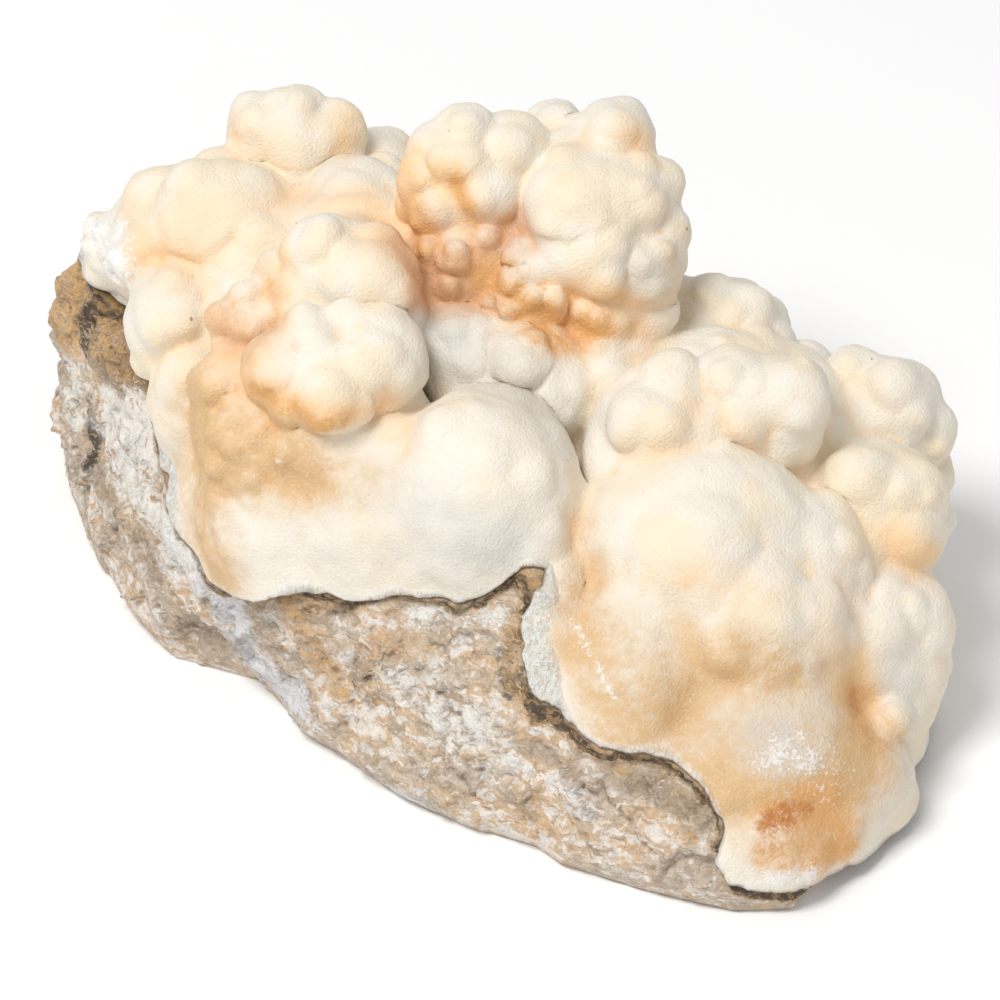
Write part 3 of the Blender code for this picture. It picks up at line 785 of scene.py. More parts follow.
# The (across, up, radius) of the domes that show from the front, broad ones first.
BROAD_DOMES = (
    (-35.6, 36.9, 9.4), (-18.4, 37.4, 6.0), (-41.6, 24.4, 5.2), (-39.8, 16.0, 4.8),
    (-27.4, 46.4, 6.4), (-21.4, 45.4, 4.8), (-16.4, 26.2, 6.4), (-22.4, 14.0, 7.4), (9.8, 36.8, 7.4), (13.6, 38.2, 5.8), (10.6, 29.2, 5.6),
    (35.8, 12.6, 5.8), (28.8, 9.6, 5.2), (18.6, 11.4, 5.6), (49.6, 12.6, 6.0),
    (45.4, 2.6, 6.4), (50.4, -4.6, 4.6), (2.0, 14.6, 6.0), (30.0, -17.0, 5.4),
    (24.0, -8.0, 8.6), (33.6, -12.0, 7.0), (49.4, -14.0, 5.6),
)
SMALL_DOMES = (
    # The mounds and the cap at the back on the left.
    (-25.0, 50.4, 2.4), (-31.8, 47.4, 2.9), (-45.4, 31.6, 3.6), (-38.6, 40.6, 3.4),
    (-30.2, 33.6, 3.2), (-41.6, 28.6, 2.8), (-14.6, 34.4, 3.2), (-22.4, 34.4, 2.6),
    (-43.6, 20.6, 2.8), (-38.6, 20.8, 2.6), (-14.6, 43.4, 2.6),
    # The second lobe and the beads on its left.
    (-23.6, 31.8, 3.1), (-19.6, 32.0, 2.6), (-28.0, 27.6, 2.4), (-25.8, 23.8, 2.3),
    (-21.2, 27.6, 2.8), (-11.6, 24.6, 3.2),
    # The head and its shoulder.
    (-23.2, 21.0, 3.1), (-18.2, 21.4, 2.6), (-11.6, 14.8, 3.2), (-21.2, 14.6, 2.9),
    (-22.4, 11.2, 3.6), (-29.4, 14.6, 2.7), (-27.2, 11.0, 2.5), (-30.6, 18.0, 2.1),
    (-13.4, 10.4, 3.0), (-16.6, 11.2, 2.5), (-26.6, 17.4, 2.6), (-15.4, 18.4, 4.4), (-35.9, 14.8, 2.8), (-36.4, 9.0, 2.2), (-34.0, 5.6, 1.8),
    (-31.0, 8.6, 1.7), (-28.0, 5.2, 1.6), (-36.8, 3.2, 1.7), (-31.6, 1.6, 1.7),
    # The bunch in the middle and the beads under it.
    (-4.9, 47.1, 2.8), (1.5, 44.6, 3.6), (-3.1, 41.9, 3.3), (-3.4, 37.1, 2.8),
    (-8.4, 41.9, 2.5), (-7.8, 35.8, 2.7), (-10.5, 39.4, 1.9), (-9.5, 31.9, 1.4),
    (-5.6, 31.9, 1.9), (-4.9, 29.0, 1.8), (-8.4, 29.4, 1.4), (-11.2, 34.0, 1.4),
    (-1.6, 33.4, 1.7), (0.2, 29.8, 1.5), (-7.0, 26.8, 1.4),
    # The large lobe in the middle.
    (6.5, 47.9, 3.3), (14.8, 47.1, 3.6), (18.4, 43.2, 2.7), (7.4, 43.8, 2.4),
    (20.1, 36.1, 2.6), (21.1, 31.9, 2.1), (18.0, 29.0, 2.3), (18.8, 39.4, 2.1),
    (15.6, 32.6, 2.8), (14.4, 26.4, 2.6), (19.4, 25.0, 2.2), (5.6, 33.2, 2.6),
    (2.6, 29.4, 2.5), (1.6, 26.1, 1.5), (3.4, 24.8, 1.3), (5.5, 20.6, 2.1),
    (9.8, 23.2, 1.8), (11.5, 21.9, 1.8), (12.2, 19.4, 1.4), (-0.9, 24.8, 1.3),
    (6.6, 26.4, 1.9), (7.8, 22.4, 1.4), (0.6, 22.8, 1.2), (3.0, 22.4, 1.3),
    # Its foot.
    (-6.2, 22.6, 2.1), (-2.0, 20.1, 1.7), (1.9, 15.4, 2.8), (6.9, 11.9, 3.0),
    (12.6, 15.4, 3.4), (8.4, 9.6, 2.0), (-3.6, 16.6, 2.2), (15.6, 21.0, 2.4),
    # What lies behind it on the right.
    (21.9, 24.0, 3.2), (26.1, 25.4, 2.2), (29.0, 24.0, 2.5), (32.6, 21.9, 2.9),
    (24.8, 26.9, 1.8), (27.4, 20.6, 2.2), (38.2, 17.6, 1.9), (43.2, 17.6, 2.5),
    (49.0, 15.5, 3.6), (55.0, 5.6, 1.9), (54.6, -0.2, 1.9), (53.0, 10.6, 2.4),
    # The body on the right.
    (27.6, 15.8, 2.9), (32.0, 15.2, 2.2), (30.8, 8.4, 3.2), (37.6, 9.4, 2.6),
    (20.4, 9.8, 3.4), (15.4, 7.0, 2.6), (23.0, 13.6, 2.2), (44.4, -5.2, 2.8),
    (51.0, 1.6, 2.4), (46.4, -8.6, 2.2), (52.4, -12.2, 2.4), (48.5, -27.2, 3.0),
)

# Lobes out of sight from the front, with their centres in the model's own frame.
HIDDEN_LOBES = {
    "back_wall_left": Lobe((-40.0, 39.0, 27.0), (12.0, 9.0, 10.0)),
    "back_wall_middle": Lobe((-22.0, 41.0, 26.0), (11.0, 9.0, 13.0)),
    "back_wall_inner": Lobe((-6.0, 42.0, 19.0), (9.0, 8.0, 11.0)),
    "back_wall_right": Lobe((10.0, 38.0, 24.0), (11.0, 9.0, 12.0)),
    "back_wall_foot": Lobe((14.0, 37.0, 13.0), (14.0, 8.0, 9.0)),
    "back_corner": Lobe((30.0, 27.0, 16.0), (12.0, 10.0, 12.0)),
    "right_wall_back": Lobe((42.5, 13.0, 13.0), (10.0, 12.0, 11.0)),
    "right_wall_front": Lobe((44.0, -12.0, 12.0), (9.5, 13.0, 11.5), SOFT),
    "under_core": Lobe((-3.0, 14.0, 17.0), (42.0, 26.0, 16.0)),
}

CRUST_PATCHES = (
    # The bunch and the valley in the middle.
    Patch(Tint.PEACH, ((-12.6, 42.4), (-12.4, 36.0), (-10.4, 31.6)), 3.4),
    Patch(Tint.AMBER, ((-11.6, 36.4), (-9.8, 32.6)), 2.0, 0.7),
    Patch(Tint.PEACH, ((-6.6, 41.0), (-3.0, 33.6)), 3.0, 0.7),
    Patch(Tint.AMBER, ((-5.4, 39.4), (-3.6, 35.6)), 1.5, 0.9),
    Patch(Tint.ROSE, ((-11.6, 32.4), (-8.0, 29.6), (-3.0, 29.6), (0.6, 32.4)), 4.6),
    Patch(Tint.AMBER, ((-9.6, 32.0), (-6.4, 31.6)), 2.0, 0.6),
    Patch(Tint.ROSE, ((-9.4, 26.4), (-4.0, 25.4)), 3.0, 1.0),
    Patch(Tint.AMBER, ((-1.6, 28.4), (1.6, 25.2), (5.4, 22.2)), 3.0, 0.85),
    Patch(Tint.AMBER, ((5.6, 20.4), (9.4, 20.4), (12.4, 21.6)), 2.8),
    Patch(Tint.PEACH, ((8.0, 24.6), (14.0, 24.4), (17.6, 21.0)), 4.0, 0.8),
    Patch(Tint.PEACH, ((15.6, 47.4), (18.6, 44.0)), 3.0, 0.7),
    Patch(Tint.PEACH, ((9.0, 46.4), (8.4, 41.0)), 2.6, 0.4),
    Patch(Tint.GRAPES, ((-8.0, 29.0), (0.0, 28.0), (5.0, 23.6)), 4.6),
    # The mounds at the back on the left.
    Patch(Tint.PEACH, ((-33.8, 47.6), (-33.6, 44.6)), 2.4, 0.6),
    Patch(Tint.PEACH, ((-19.0, 47.8), (-19.4, 43.6)), 3.0, 0.7),
    Patch(Tint.PEACH, ((-47.0, 36.6), (-45.6, 31.0), (-39.6, 28.6)), 4.6, 0.65),
    Patch(Tint.PEACH, ((-38.0, 37.0), (-30.0, 36.0)), 4.0, 0.4),
    Patch(Tint.PEACH, ((-25.6, 38.0), (-17.0, 37.4), (-13.8, 33.6)), 4.6, 0.7),
    Patch(Tint.AMBER, ((-29.8, 29.0), (-28.6, 26.2)), 1.8, 0.6),
    Patch(Tint.PEACH, ((-28.0, 31.6), (-29.0, 27.0)), 2.8, 0.8),
    Patch(Tint.ROSE, ((-34.6, 23.4), (-33.0, 19.0), (-29.8, 21.6)), 3.4, 0.7),
    Patch(Tint.PEACH, ((-36.0, 24.0), (-33.0, 18.0), (-28.6, 22.6)), 4.2, 1.0),
    Patch(Tint.GRAPES, ((-33.0, 22.0),), 4.0),
    # The head at the front and its shoulder.
    Patch(Tint.PEACH, ((-38.4, 14.0), (-36.4, 8.0), (-30.0, 8.0)), 4.6, 0.9),
    # The tan patches here are partly stain, partly painted shade on the sides turned from the light.
    Patch(Tint.TAN, ((-38.8, 12.0), (-36.6, 4.0), (-31.0, 5.0), (-25.0, 3.6)), 5.2),
    Patch(Tint.TAN, ((-32.0, 9.6), (-27.0, 7.0)), 4.0, 0.8),
    Patch(Tint.TAN, ((-38.6, 4.0), (-38.0, -4.0), (-35.6, -9.6)), 5.2, 0.75),
    Patch(Tint.TAN, ((-18.6, 4.6), (-14.6, 2.2)), 3.6, 0.45),
    Patch(Tint.TAN, ((-28.0, 0.6), (-20.0, 1.0)), 3.6, 0.4),
    Patch(Tint.PEACH, ((-32.4, 14.8), (-27.0, 12.6)), 2.8),
    Patch(Tint.AMBER, ((-31.0, 13.4), (-26.4, 11.6), (-23.2, 8.8), (-19.6, 9.6)), 1.7),
    Patch(Tint.PEACH, ((-25.0, 11.0), (-18.0, 10.6)), 2.8, 0.8),
    Patch(Tint.PEACH, ((-14.0, 12.4), (-12.4, 7.2)), 2.6, 0.6),
    Patch(Tint.GRAPES, ((-7.0, 21.0), (2.0, 15.0)), 5.0, 0.45),
    Patch(Tint.GRAPES, ((14.0, 26.0), (18.6, 32.0)), 4.0, 0.4),
    Patch(Tint.GRAPES, ((-37.4, 8.0), (-36.0, 2.0), (-36.0, -5.0)), 5.2, 1.1),
    Patch(Tint.GRAPES, ((-30.0, 7.0), (-24.0, 3.0)), 4.0, 0.8),
    # The body on the right.
    Patch(Tint.PEACH, ((23.0, 11.6), (31.0, 8.6)), 4.2, 0.5),
    Patch(Tint.PEACH, ((24.6, -9.6), (29.4, -10.6)), 3.4, 0.6),
    Patch(Tint.PEACH, ((33.2, -11.0),), 3.0, 0.5),
    Patch(Tint.TAN, ((29.0, -17.6), (31.0, -19.4), (35.6, -20.4)), 3.6, 0.6),
    Patch(Tint.PEACH, ((13.6, 1.6), (19.4, 4.0)), 3.6, 0.5),
    Patch(Tint.PEACH, ((50.0, -5.0), (53.6, -8.0)), 3.8, 0.8),
    Patch(Tint.PEACH, ((42.0, -10.0), (40.0, -18.0), (45.0, -20.0)), 4.0, 0.5),
    # The tan along the crease and over the lower right body is partly stain, partly painted shade.
    Patch(Tint.TAN, ((9.6, -12.0), (12.0, -24.0), (19.0, -32.0)), 5.0, 0.8),
    Patch(Tint.TAN, ((10.6, -3.0), (10.2, -9.0), (10.6, -15.0)), 3.4, 0.55),
    Patch(Tint.TAN, ((22.0, -18.0), (30.0, -24.0), (22.0, -30.0)), 8.0, 0.55),
    Patch(Tint.TAN, ((15.0, -18.0), (19.0, -23.6), (22.0, -27.0)), 5.0, 0.6),
    Patch(Tint.TAN, ((26.0, -35.0), (34.0, -38.6), (42.0, -36.6), (47.0, -31.0)), 6.0, 0.95),
    Patch(Tint.TAN, ((38.0, -24.0), (42.0, -22.0), (40.0, -30.0)), 5.0, 0.5),
    Patch(Tint.TAN, ((22.0, 36.0), (22.4, 26.0)), 3.4, 0.4),
    Patch(Tint.TAN, ((-2.0, 17.6), (6.0, 10.0)), 5.0, 0.25),
    Patch(Tint.RUST, ((33.4, -40.4), (35.2, -39.9)), 1.5, 1.4),
    Patch(Tint.RUST, ((35.6, -39.2), (38.0, -38.4)), 1.5, 0.7),
    Patch(Tint.RUST, ((33.0, -43.6), (35.0, -43.2)), 1.3, 0.4),
    Patch(Tint.AMBER, ((34.0, -39.6), (38.4, -37.4), (41.0, -36.6)), 2.6, 0.9),
    Patch(Tint.AMBER, ((38.0, -39.0), (42.4, -41.4), (38.0, -43.4)), 3.6, 0.75),
    Patch(Tint.AMBER, ((33.0, -44.6), (39.6, -45.6), (43.0, -43.8)), 2.2, 0.8),
    Patch(Tint.PEACH, ((44.4, -24.8), (45.6, -27.8), (47.0, -30.6)), 3.6, 1.3),
    Patch(Tint.AMBER, ((44.6, -24.8), (45.8, -28.0), (47.0, -30.4)), 2.4, 0.7),
    Patch(Tint.RUST, ((45.2, -25.6), (46.6, -29.6)), 1.6, 0.4),
    Patch(Tint.FROST, ((33.6, -31.8), (38.4, -32.4)), 3.6, 1.7),
    Patch(Tint.CHALK, ((33.6, -32.4), (36.4, -31.0), (38.6, -33.2)), 3.0, 0.6),
    Patch(Tint.CHALK, ((41.0, -32.0), (43.4, -34.4), (41.0, -37.0)), 2.4, 0.42),
    Patch(Tint.CHALK, ((34.0, -47.4), (39.0, -47.0)), 1.4),
    Patch(Tint.CHALK, ((41.4, -48.2), (49.0, -41.0), (53.4, -32.0)), 1.0, 0.7),
    Patch(Tint.CHALK, ((-53.0, 35.0), (-49.4, 33.4), (-48.6, 28.6)), 3.6),
    Patch(Tint.SNOW, ((-52.4, 34.0), (-50.0, 32.0), (-49.4, 28.6)), 2.8),
    Patch(Tint.CHALK, ((8.8, -14.8), (10.6, -18.0), (14.0, -24.6)), 0.7, 1.0),
    Patch(Tint.CHALK, ((-27.8, 4.8),), 0.7, 1.0),
    # Cool grey places: partly frosting, partly painted shade.
    Patch(Tint.FROST, ((-7.0, 21.0), (0.0, 15.0), (7.0, 10.4)), 5.4, 1.0),
    Patch(Tint.FROST, ((15.0, 22.0), (18.6, 30.0)), 4.6, 0.6),
    Patch(Tint.FROST, ((-16.0, 3.0), (-6.0, -2.0), (2.0, -5.0)), 6.0, 0.55),
    Patch(Tint.FROST, ((-24.0, -6.0), (-12.0, -8.0), (0.0, -8.0)), 4.0, 0.25),
    Patch(Tint.FROST, ((21.0, -27.0), (32.0, -29.0), (42.0, -25.0)), 5.6, 0.75),
    Patch(Tint.FROST, ((48.0, -20.0), (52.0, -26.0), (48.0, -36.0)), 5.0, 0.35),
    Patch(Tint.FROST, ((-44.0, 26.0), (-38.0, 24.0)), 4.0, 0.25),
    # Where the skin is smooth.
    Patch(Tint.PLAIN, ((-24.0, -4.0), (-10.0, 0.0), (2.0, -2.0)), 9.0, 0.8),
    Patch(Tint.PLAIN, ((14.0, -20.0), (28.0, -24.0), (40.0, -34.0)), 11.0, 0.8),
    Patch(Tint.PLAIN, ((14.0, -2.0), (34.0, -6.0)), 8.0, 0.6),
    Patch(Tint.PLAIN, ((-40.0, 38.0), (-30.0, 34.0)), 6.0, 0.7),
    # The broken white edge over the stone, in millimetres of breadth.
    Patch(Tint.SELVAGE, ((-53.0, 35.4), (-48.8, 32.4)), 5.0, 5.0),
    Patch(Tint.SELVAGE, ((-42.6, 4.6), (-38.6, -2.0)), 3.0, 3.4),
    Patch(Tint.SELVAGE, ((-26.6, -9.6), (-24.0, -9.8)), 2.4, 1.4),
    Patch(Tint.SELVAGE, ((-14.0, -11.4), (-6.0, -11.6)), 3.0, 0.8),
    Patch(Tint.SELVAGE, ((4.6, -10.6), (6.0, -15.0)), 2.6, 1.6),
    Patch(Tint.SELVAGE, ((4.4, -19.0), (5.6, -26.0)), 3.0, 2.7),
    Patch(Tint.SELVAGE, ((9.8, -28.6), (17.6, -31.4), (24.6, -36.6)), 3.0, 0.45),
)

STONE_PATCHES = (
    # The dark line under the crust, in millimetres of breadth.
    Patch(Tint.SEAM, ((-33.6, -11.0), (-26.9, -10.3), (-19.6, -12.3)), 3.0, 1.3),
    Patch(Tint.SEAM, ((-16.2, -11.4), (-10.4, -11.8)), 2.0, 0.2),
    Patch(Tint.SEAM, ((-5.1, -12.0), (1.9, -9.6), (4.5, -11.0)), 2.4, 1.3),
    Patch(Tint.SEAM, ((2.6, -15.0), (0.9, -19.4), (1.5, -22.4), (3.6, -25.4)), 2.6, 2.6),
    Patch(Tint.SEAM, ((5.6, -27.8), (9.8, -29.8)), 2.4, 1.2),
    Patch(Tint.SEAM, ((14.0, -31.0), (17.6, -32.8), (23.8, -37.6), (26.0, -43.8)), 2.6, 0.9),
    Patch(Tint.SEAM, ((27.8, -47.2), (32.4, -48.8), (38.0, -50.0)), 2.6, 1.4),
    Patch(Tint.SEAM, ((-51.0, 29.0), (-44.0, 17.0), (-42.0, 9.0)), 3.0, 1.2),
    # Gold and rust beside it.
    Patch(Tint.GOLD, ((-27.0, -11.6), (-21.4, -13.4)), 1.6, 0.9),
    Patch(Tint.GOLD, ((2.4, -10.2), (4.0, -11.4), (3.4, -14.6), (1.4, -17.0)), 1.7, 1.3),
    Patch(Tint.GOLD, ((-8.0, -11.4), (-4.0, -12.0)), 1.4, 0.5),
    Patch(Tint.GOLD, ((-16.0, -17.6), (-9.2, -18.0)), 2.4, 0.6),
    Patch(Tint.GOLD, ((-26.0, -15.0), (-23.6, -18.6), (-21.6, -21.6)), 2.4, 0.75),
    Patch(Tint.GOLD, ((-14.0, -30.0), (-6.0, -36.0), (6.0, -41.0)), 2.4, 0.35),
    Patch(Tint.GOLD, ((-20.4, -24.0), (-19.6, -24.4)), 1.0, 1.0),
    Patch(Tint.GOLD, ((23.6, -42.2),), 1.4, 0.9),
    Patch(Tint.GOLD, ((11.0, -31.6), (15.4, -34.0)), 1.8, 0.6),
    # The front wall.
    Patch(Tint.BROWN, ((-17.8, -20.6), (-10.6, -21.6)), 2.0, 0.8),
    Patch(Tint.BROWN, ((-30.0, -13.0), (-22.0, -15.0)), 1.8, 0.6),
    Patch(Tint.BROWN, ((15.0, -34.0), (23.6, -38.4)), 2.4, 0.9),
    Patch(Tint.BROWN, ((4.0, -31.6), (9.0, -33.0)), 2.0, 0.6),
    Patch(Tint.SOOT, ((-18.4, -22.8), (-15.4, -22.0)), 1.3, 0.8),
    Patch(Tint.SOOT, ((-24.4, -13.8), (-21.8, -13.6)), 1.4, 0.5),
    Patch(Tint.SOOT, ((2.0, -16.0), (0.0, -20.0), (1.0, -24.0)), 1.8, 0.7),
    Patch(Tint.SNOW, ((-13.0, -22.2), (-8.6, -26.0), (-2.0, -28.0)), 3.0, 0.8),
    Patch(Tint.SNOW, ((-10.0, -14.0), (0.0, -13.6)), 2.6, 0.7),
    Patch(Tint.SNOW, ((-6.0, -31.0), (2.0, -33.4), (10.0, -38.0)), 2.4, 0.7),
    Patch(Tint.HAZE, ((-40.2, -3.4), (-35.8, -11.6), (-31.1, -22.0), (-25.9, -24.9)), 2.8, 1.5),
    Patch(Tint.HAZE, ((-28.6, -28.0), (-18.0, -35.0), (-4.0, -42.0)), 3.0, 0.6),
    # The wall on the left.
    Patch(Tint.BROWN, ((-50.4, 27.0), (-48.6, 19.0), (-45.6, 14.0)), 4.6, 1.5),
    Patch(Tint.GOLD, ((-54.8, 30.0), (-54.4, 22.0)), 4.2, 1.4),
    Patch(Tint.GOLD, ((-49.4, 23.0), (-47.6, 18.0), (-45.4, 14.0)), 3.0, 1.1),
    Patch(Tint.SOOT, ((-53.0, 18.6), (-51.4, 24.0), (-49.6, 29.6)), 1.5, 1.3),
    Patch(Tint.SOOT, ((-48.0, 28.0), (-44.6, 20.0), (-43.4, 13.4)), 1.6, 1.3),
    Patch(Tint.SOOT, ((-49.6, 25.0), (-47.4, 18.0), (-45.4, 14.6)), 3.2, 0.5),
    Patch(Tint.SOOT, ((-52.0, 12.0), (-51.0, 8.0), (-51.6, 4.6)), 1.6, 1.0),
    Patch(Tint.BROWN, ((-52.4, 10.0), (-51.0, 4.0), (-48.4, -1.0)), 1.8, 0.8),
    Patch(Tint.BROWN, ((-45.2, -5.0), (-43.4, -9.4)), 2.4, 0.8),
    Patch(Tint.BROWN, ((-40.0, -16.0), (-34.0, -19.0)), 3.4, 0.6),
    Patch(Tint.SNOW, ((-49.0, 11.0), (-44.8, 11.0), (-44.6, 7.0)), 3.0, 1.6),
    Patch(Tint.SNOW, ((-48.4, 6.0), (-45.4, 0.0), (-41.0, -8.0)), 3.6, 1.1),
    Patch(Tint.SNOW, ((-54.0, 16.0), (-53.4, 10.0)), 1.8, 1.2),
)


@dataclass(frozen=True)
class CrustFinish:
    """Matt cream frosting with peach, amber and rust stains, painted shade in its folds and creases and
    on faces turned down, and a broken white edge.

    Attributes:
        cream: The knobs' colour.
        ivory: The paler, cooler skin between them.
        warm: The colour in the folds, partly real staining and partly painted shade, and painted shade
            under the domes.
        tints: The colour of each stain; the tan and the cool grey are partly painted shade.
        mottling: How uneven a mottled stain is.
        white: The broken edge and the chalky patches.
        frosted: What lies between the white fibres of the edge.
        speck: The few dark grains.
        root: The brown of what touches the bed.
    """

    cream: Triple = (0.880, 0.765, 0.585)
    ivory: Triple = (0.860, 0.800, 0.690)
    warm: Triple = (0.84, 0.600, 0.350)
    tints: tuple[tuple[Tint, Triple], ...] = (
        (Tint.FROST, (0.67, 0.65, 0.595)),
        (Tint.PEACH, (0.90, 0.610, 0.340)),
        (Tint.TAN, (0.70, 0.455, 0.225)),
        (Tint.ROSE, (0.70, 0.415, 0.235)),
        (Tint.AMBER, (0.74, 0.400, 0.150)),
        (Tint.RUST, (0.52, 0.200, 0.055)),
    )
    mottling: Mapping[Tint, float] = field(
        default_factory=lambda: {Tint.RUST: 4.0, Tint.AMBER: 1.8, Tint.TAN: 1.0}
    )
    white: Triple = (0.88, 0.875, 0.86)
    frosted: Triple = (0.68, 0.64, 0.55)
    speck: Triple = (0.20, 0.13, 0.07)
    root: Triple = (0.33, 0.22, 0.12)

    def material(self) -> bpy.types.Material:
        """Makes the material.

        Returns:
            The crust's material, which reads the values kept by Crust.dress.
        """
        graph = Graph("frosted_cream_crust")
        drift = graph.warp(2.2, 0.22)
        clouds = graph.clouds(0.11, 3.0, place=drift)
        mottle = graph.clouds(0.42, 4.0, 0.6)
        frost = graph.clouds(2.3, 3.0, 0.75)
        grains = graph.cells(2.6)
        fold = graph.kept("fold")

        dome = graph.kept("dome")
        creamy = graph.rise(clouds + (dome - 0.45) * 0.14, 0.40, 0.62)
        colour = graph.mix(creamy, self.ivory, self.cream)
        # Painted shade, partly real staining: the folds, and the undersides of the domes that turn from
        # up, take the fold colour.
        folded = graph.rise(fold + (mottle - 0.5) * 0.35, 0.06, 0.70)
        crack = graph.rise(graph.kept("crease"), 0.45, 1.1)
        shaded = 1.0 - graph.kept("upward")
        colour = graph.mix(folded * 0.40 + shaded * 0.22 * dome, colour, self.warm)
        grit = graph.clouds(0.9, 3.0, 0.75) - 0.5
        # Each stain is painted stronger where the skin turns from up: painted shade on top of the
        # stain.
        for tint, shade in self.tints:
            amount = graph.kept(tint.value) * (0.75 + shaded * 0.6)
            edge = (mottle - 0.5) * 0.9 + (clouds - 0.5) * 1.2 + (frost - 0.5) * 0.9 + fold * 0.4
            edge = edge + grit * self.mottling.get(tint, 0.0)
            mask = graph.rise(amount + amount * edge, 0.02, 1.10)
            colour = graph.mix(mask, colour, shade)
        # Amber in the small creases: stain where the patches lie, and painted shade in every crease.
        stain_and_crease_shade = graph.kept(Tint.AMBER.value) + graph.kept(Tint.ROSE.value) * 0.6 + 0.2
        stain_and_crease_shade = stain_and_crease_shade + graph.kept(Tint.PEACH.value) * 0.4 + graph.kept(Tint.TAN.value) * 0.4
        colour = graph.mix(crack * stain_and_crease_shade * 0.8, colour, dict(self.tints)[Tint.AMBER])
        chalk = graph.kept(Tint.CHALK.value)
        chalky = graph.rise(chalk + (mottle - 0.5) * 1.2 + (frost - 0.5) * 2.4, 0.42, 0.85)
        colour = graph.mix(chalky * 0.80, colour, self.white)
        frosted = graph.rise(frost, 0.52, 0.70)
        colour = graph.mix(frosted * 0.26, colour, self.white)

        above = graph.kept("above_bed")
        breadth = graph.kept(Tint.SELVAGE.value)
        ragged = breadth * (0.55 + graph.clouds(0.35, 3.0) * 0.9) - above
        edge = graph.rise(ragged + (mottle - 0.5) * 3.0 + (frost - 0.5) * 1.6, -0.60, 0.80)
        fibres = graph.clouds(1.7, 3.0, 0.75, graph.stretch((1.0, 1.0, 0.30)))
        milky = graph.mix(graph.rise(fibres, 0.42, 0.58), self.frosted, self.white)
        milky = graph.mix(graph.rise(mottle, 0.50, 0.60) * 0.8, milky, self.ivory)
        colour = graph.mix(edge, colour, milky)
        contact = graph.rise(above, 0.30, 0.02)
        colour = graph.mix(contact * 0.75, colour, self.root)

        crumbs = graph.cells(0.21, place=graph.warp(0.2, 1.6))
        dark = crumbs.other("Color") * 0.17 - 0.10
        speck = graph.rise(dark - crumbs, 0.0, 0.02)
        colour = graph.mix(speck * 0.75, colour, self.speck)

        height = frost * 0.55 + mottle * 0.5 + (1.0 - grains) * 0.25
        height = height + graph.rise(breadth - above, -0.30, 0.50) * fibres * 3.4
        graph.set_shader({
            "Base Color": colour,
            "Roughness": 0.62 - frosted * 0.16,
            "Normal": graph.bump(height, 0.42, 0.75),
            "Specular IOR Level": 0.38,
        })
        return graph.material


@dataclass(frozen=True)
class StoneFinish:
    """Broken crystalline stone: tan and white, streaked, with brown, gold and sooty places.

    Attributes:
        tan: The commonest colour.
        white: The fresh crystals.
        buff: The warmer streaks.
        brown: The brown places.
        gold: The clear golden places.
        soot: The black-brown of the seam.
        haze: The cold white of the ridge.
    """

    tan: Triple = (0.60, 0.49, 0.38)
    white: Triple = (0.85, 0.81, 0.75)
    buff: Triple = (0.68, 0.47, 0.285)
    brown: Triple = (0.38, 0.27, 0.175)
    gold: Triple = (0.64, 0.39, 0.165)
    soot: Triple = (0.030, 0.021, 0.013)
    haze: Triple = (0.74, 0.73, 0.74)

    def material(self) -> bpy.types.Material:
        """Makes the material.

        Returns:
            The stone's material, which reads the values kept by Stone.dress.
        """
        graph = Graph("broken_crystalline_stone")
        drift = graph.warp(0.9, 0.5)
        strata = graph.stretch((0.75, 0.75, 1.4), drift)
        broad = graph.clouds(0.12, 3.0, 0.6, strata)
        patchy = graph.clouds(0.38, 5.0, 0.70, strata)
        fine = graph.clouds(1.8, 4.0, 0.75, strata)
        chips = graph.cells(0.75, output="Color", place=strata)
        slivers = graph.cells(1.4, output="Color", place=graph.stretch((0.8, 0.8, 2.2), drift))
        sugar = graph.cells(3.4, output="Color")

        colour = graph.mix(graph.rise(broad + (chips - 0.5) * 0.16, 0.42, 0.58), self.tan, self.buff)
        broken = patchy + (chips - 0.5) * 0.30 + (slivers - 0.5) * 0.22 + (broad - 0.5) * 0.45
        colour = graph.mix(graph.rise(broken, 0.50, 0.63) * 0.85, colour, self.white)
        colour = graph.mix(graph.rise(broken, 0.45, 0.31) * 0.62, colour, self.brown)
        colour = graph.mix(graph.rise(fine + (sugar - 0.5) * 0.3, 0.55, 0.75) * 0.5, colour, self.white)

        wander = (patchy - 0.5) * 3.0 + (fine - 0.5) * 2.2 + (slivers - 0.5) * 1.0
        grainy = graph.rise(fine + (slivers - 0.5) * 0.5 + (sugar - 0.5) * 0.2, 0.34, 0.52)
        brown = graph.mix(grainy, [0.45 * part for part in self.brown], self.brown)
        gold = graph.mix(grainy, self.brown, self.gold)
        for tint, shade, share in (
            (Tint.HAZE, self.haze, 0.90),
            (Tint.BROWN, brown, 0.85),
            (Tint.GOLD, gold, 0.90),
            (Tint.SOOT, self.soot, 0.85),
            (Tint.SNOW, self.white, 0.90),
        ):
            amount = graph.kept(tint.value)
            mask = graph.rise(amount + amount * wander, 0.28, 0.85)
            colour = graph.mix(mask * share, colour, shade)

        below = graph.kept("below_bed")
        breadth = graph.kept(Tint.SEAM.value) + 0.35
        fringe = breadth * (1.0 + wander * 0.7)
        golden = graph.rise(fringe * 1.5 + 0.1 - below, -0.1, 1.0)
        colour = graph.mix(golden * 0.6, colour, self.gold)
        sooty = graph.rise(fringe - below, -0.45, 0.45) * (0.94 - graph.kept("top") * 0.85)
        colour = graph.mix(sooty, colour, self.soot)
        gilt = graph.rise(fine + (slivers - 0.5) * 0.7, 0.52, 0.70)
        colour = graph.mix(gilt * sooty * 0.45, colour, self.gold)

        glint = graph.rise(sugar, 0.62, 0.9)
        height = (
            graph.facets(0.75, strata) * 0.70
            + graph.facets(1.9, strata) * 0.65
            + graph.facets(4.0, graph.place) * 0.50
            + fine * 0.16
        )
        graph.set_shader({
            "Base Color": colour,
            "Roughness": 0.62 - glint * 0.34,
            "Normal": graph.bump(height, 1.0, 0.9),
            "Specular IOR Level": 0.5,
        })
        return graph.material


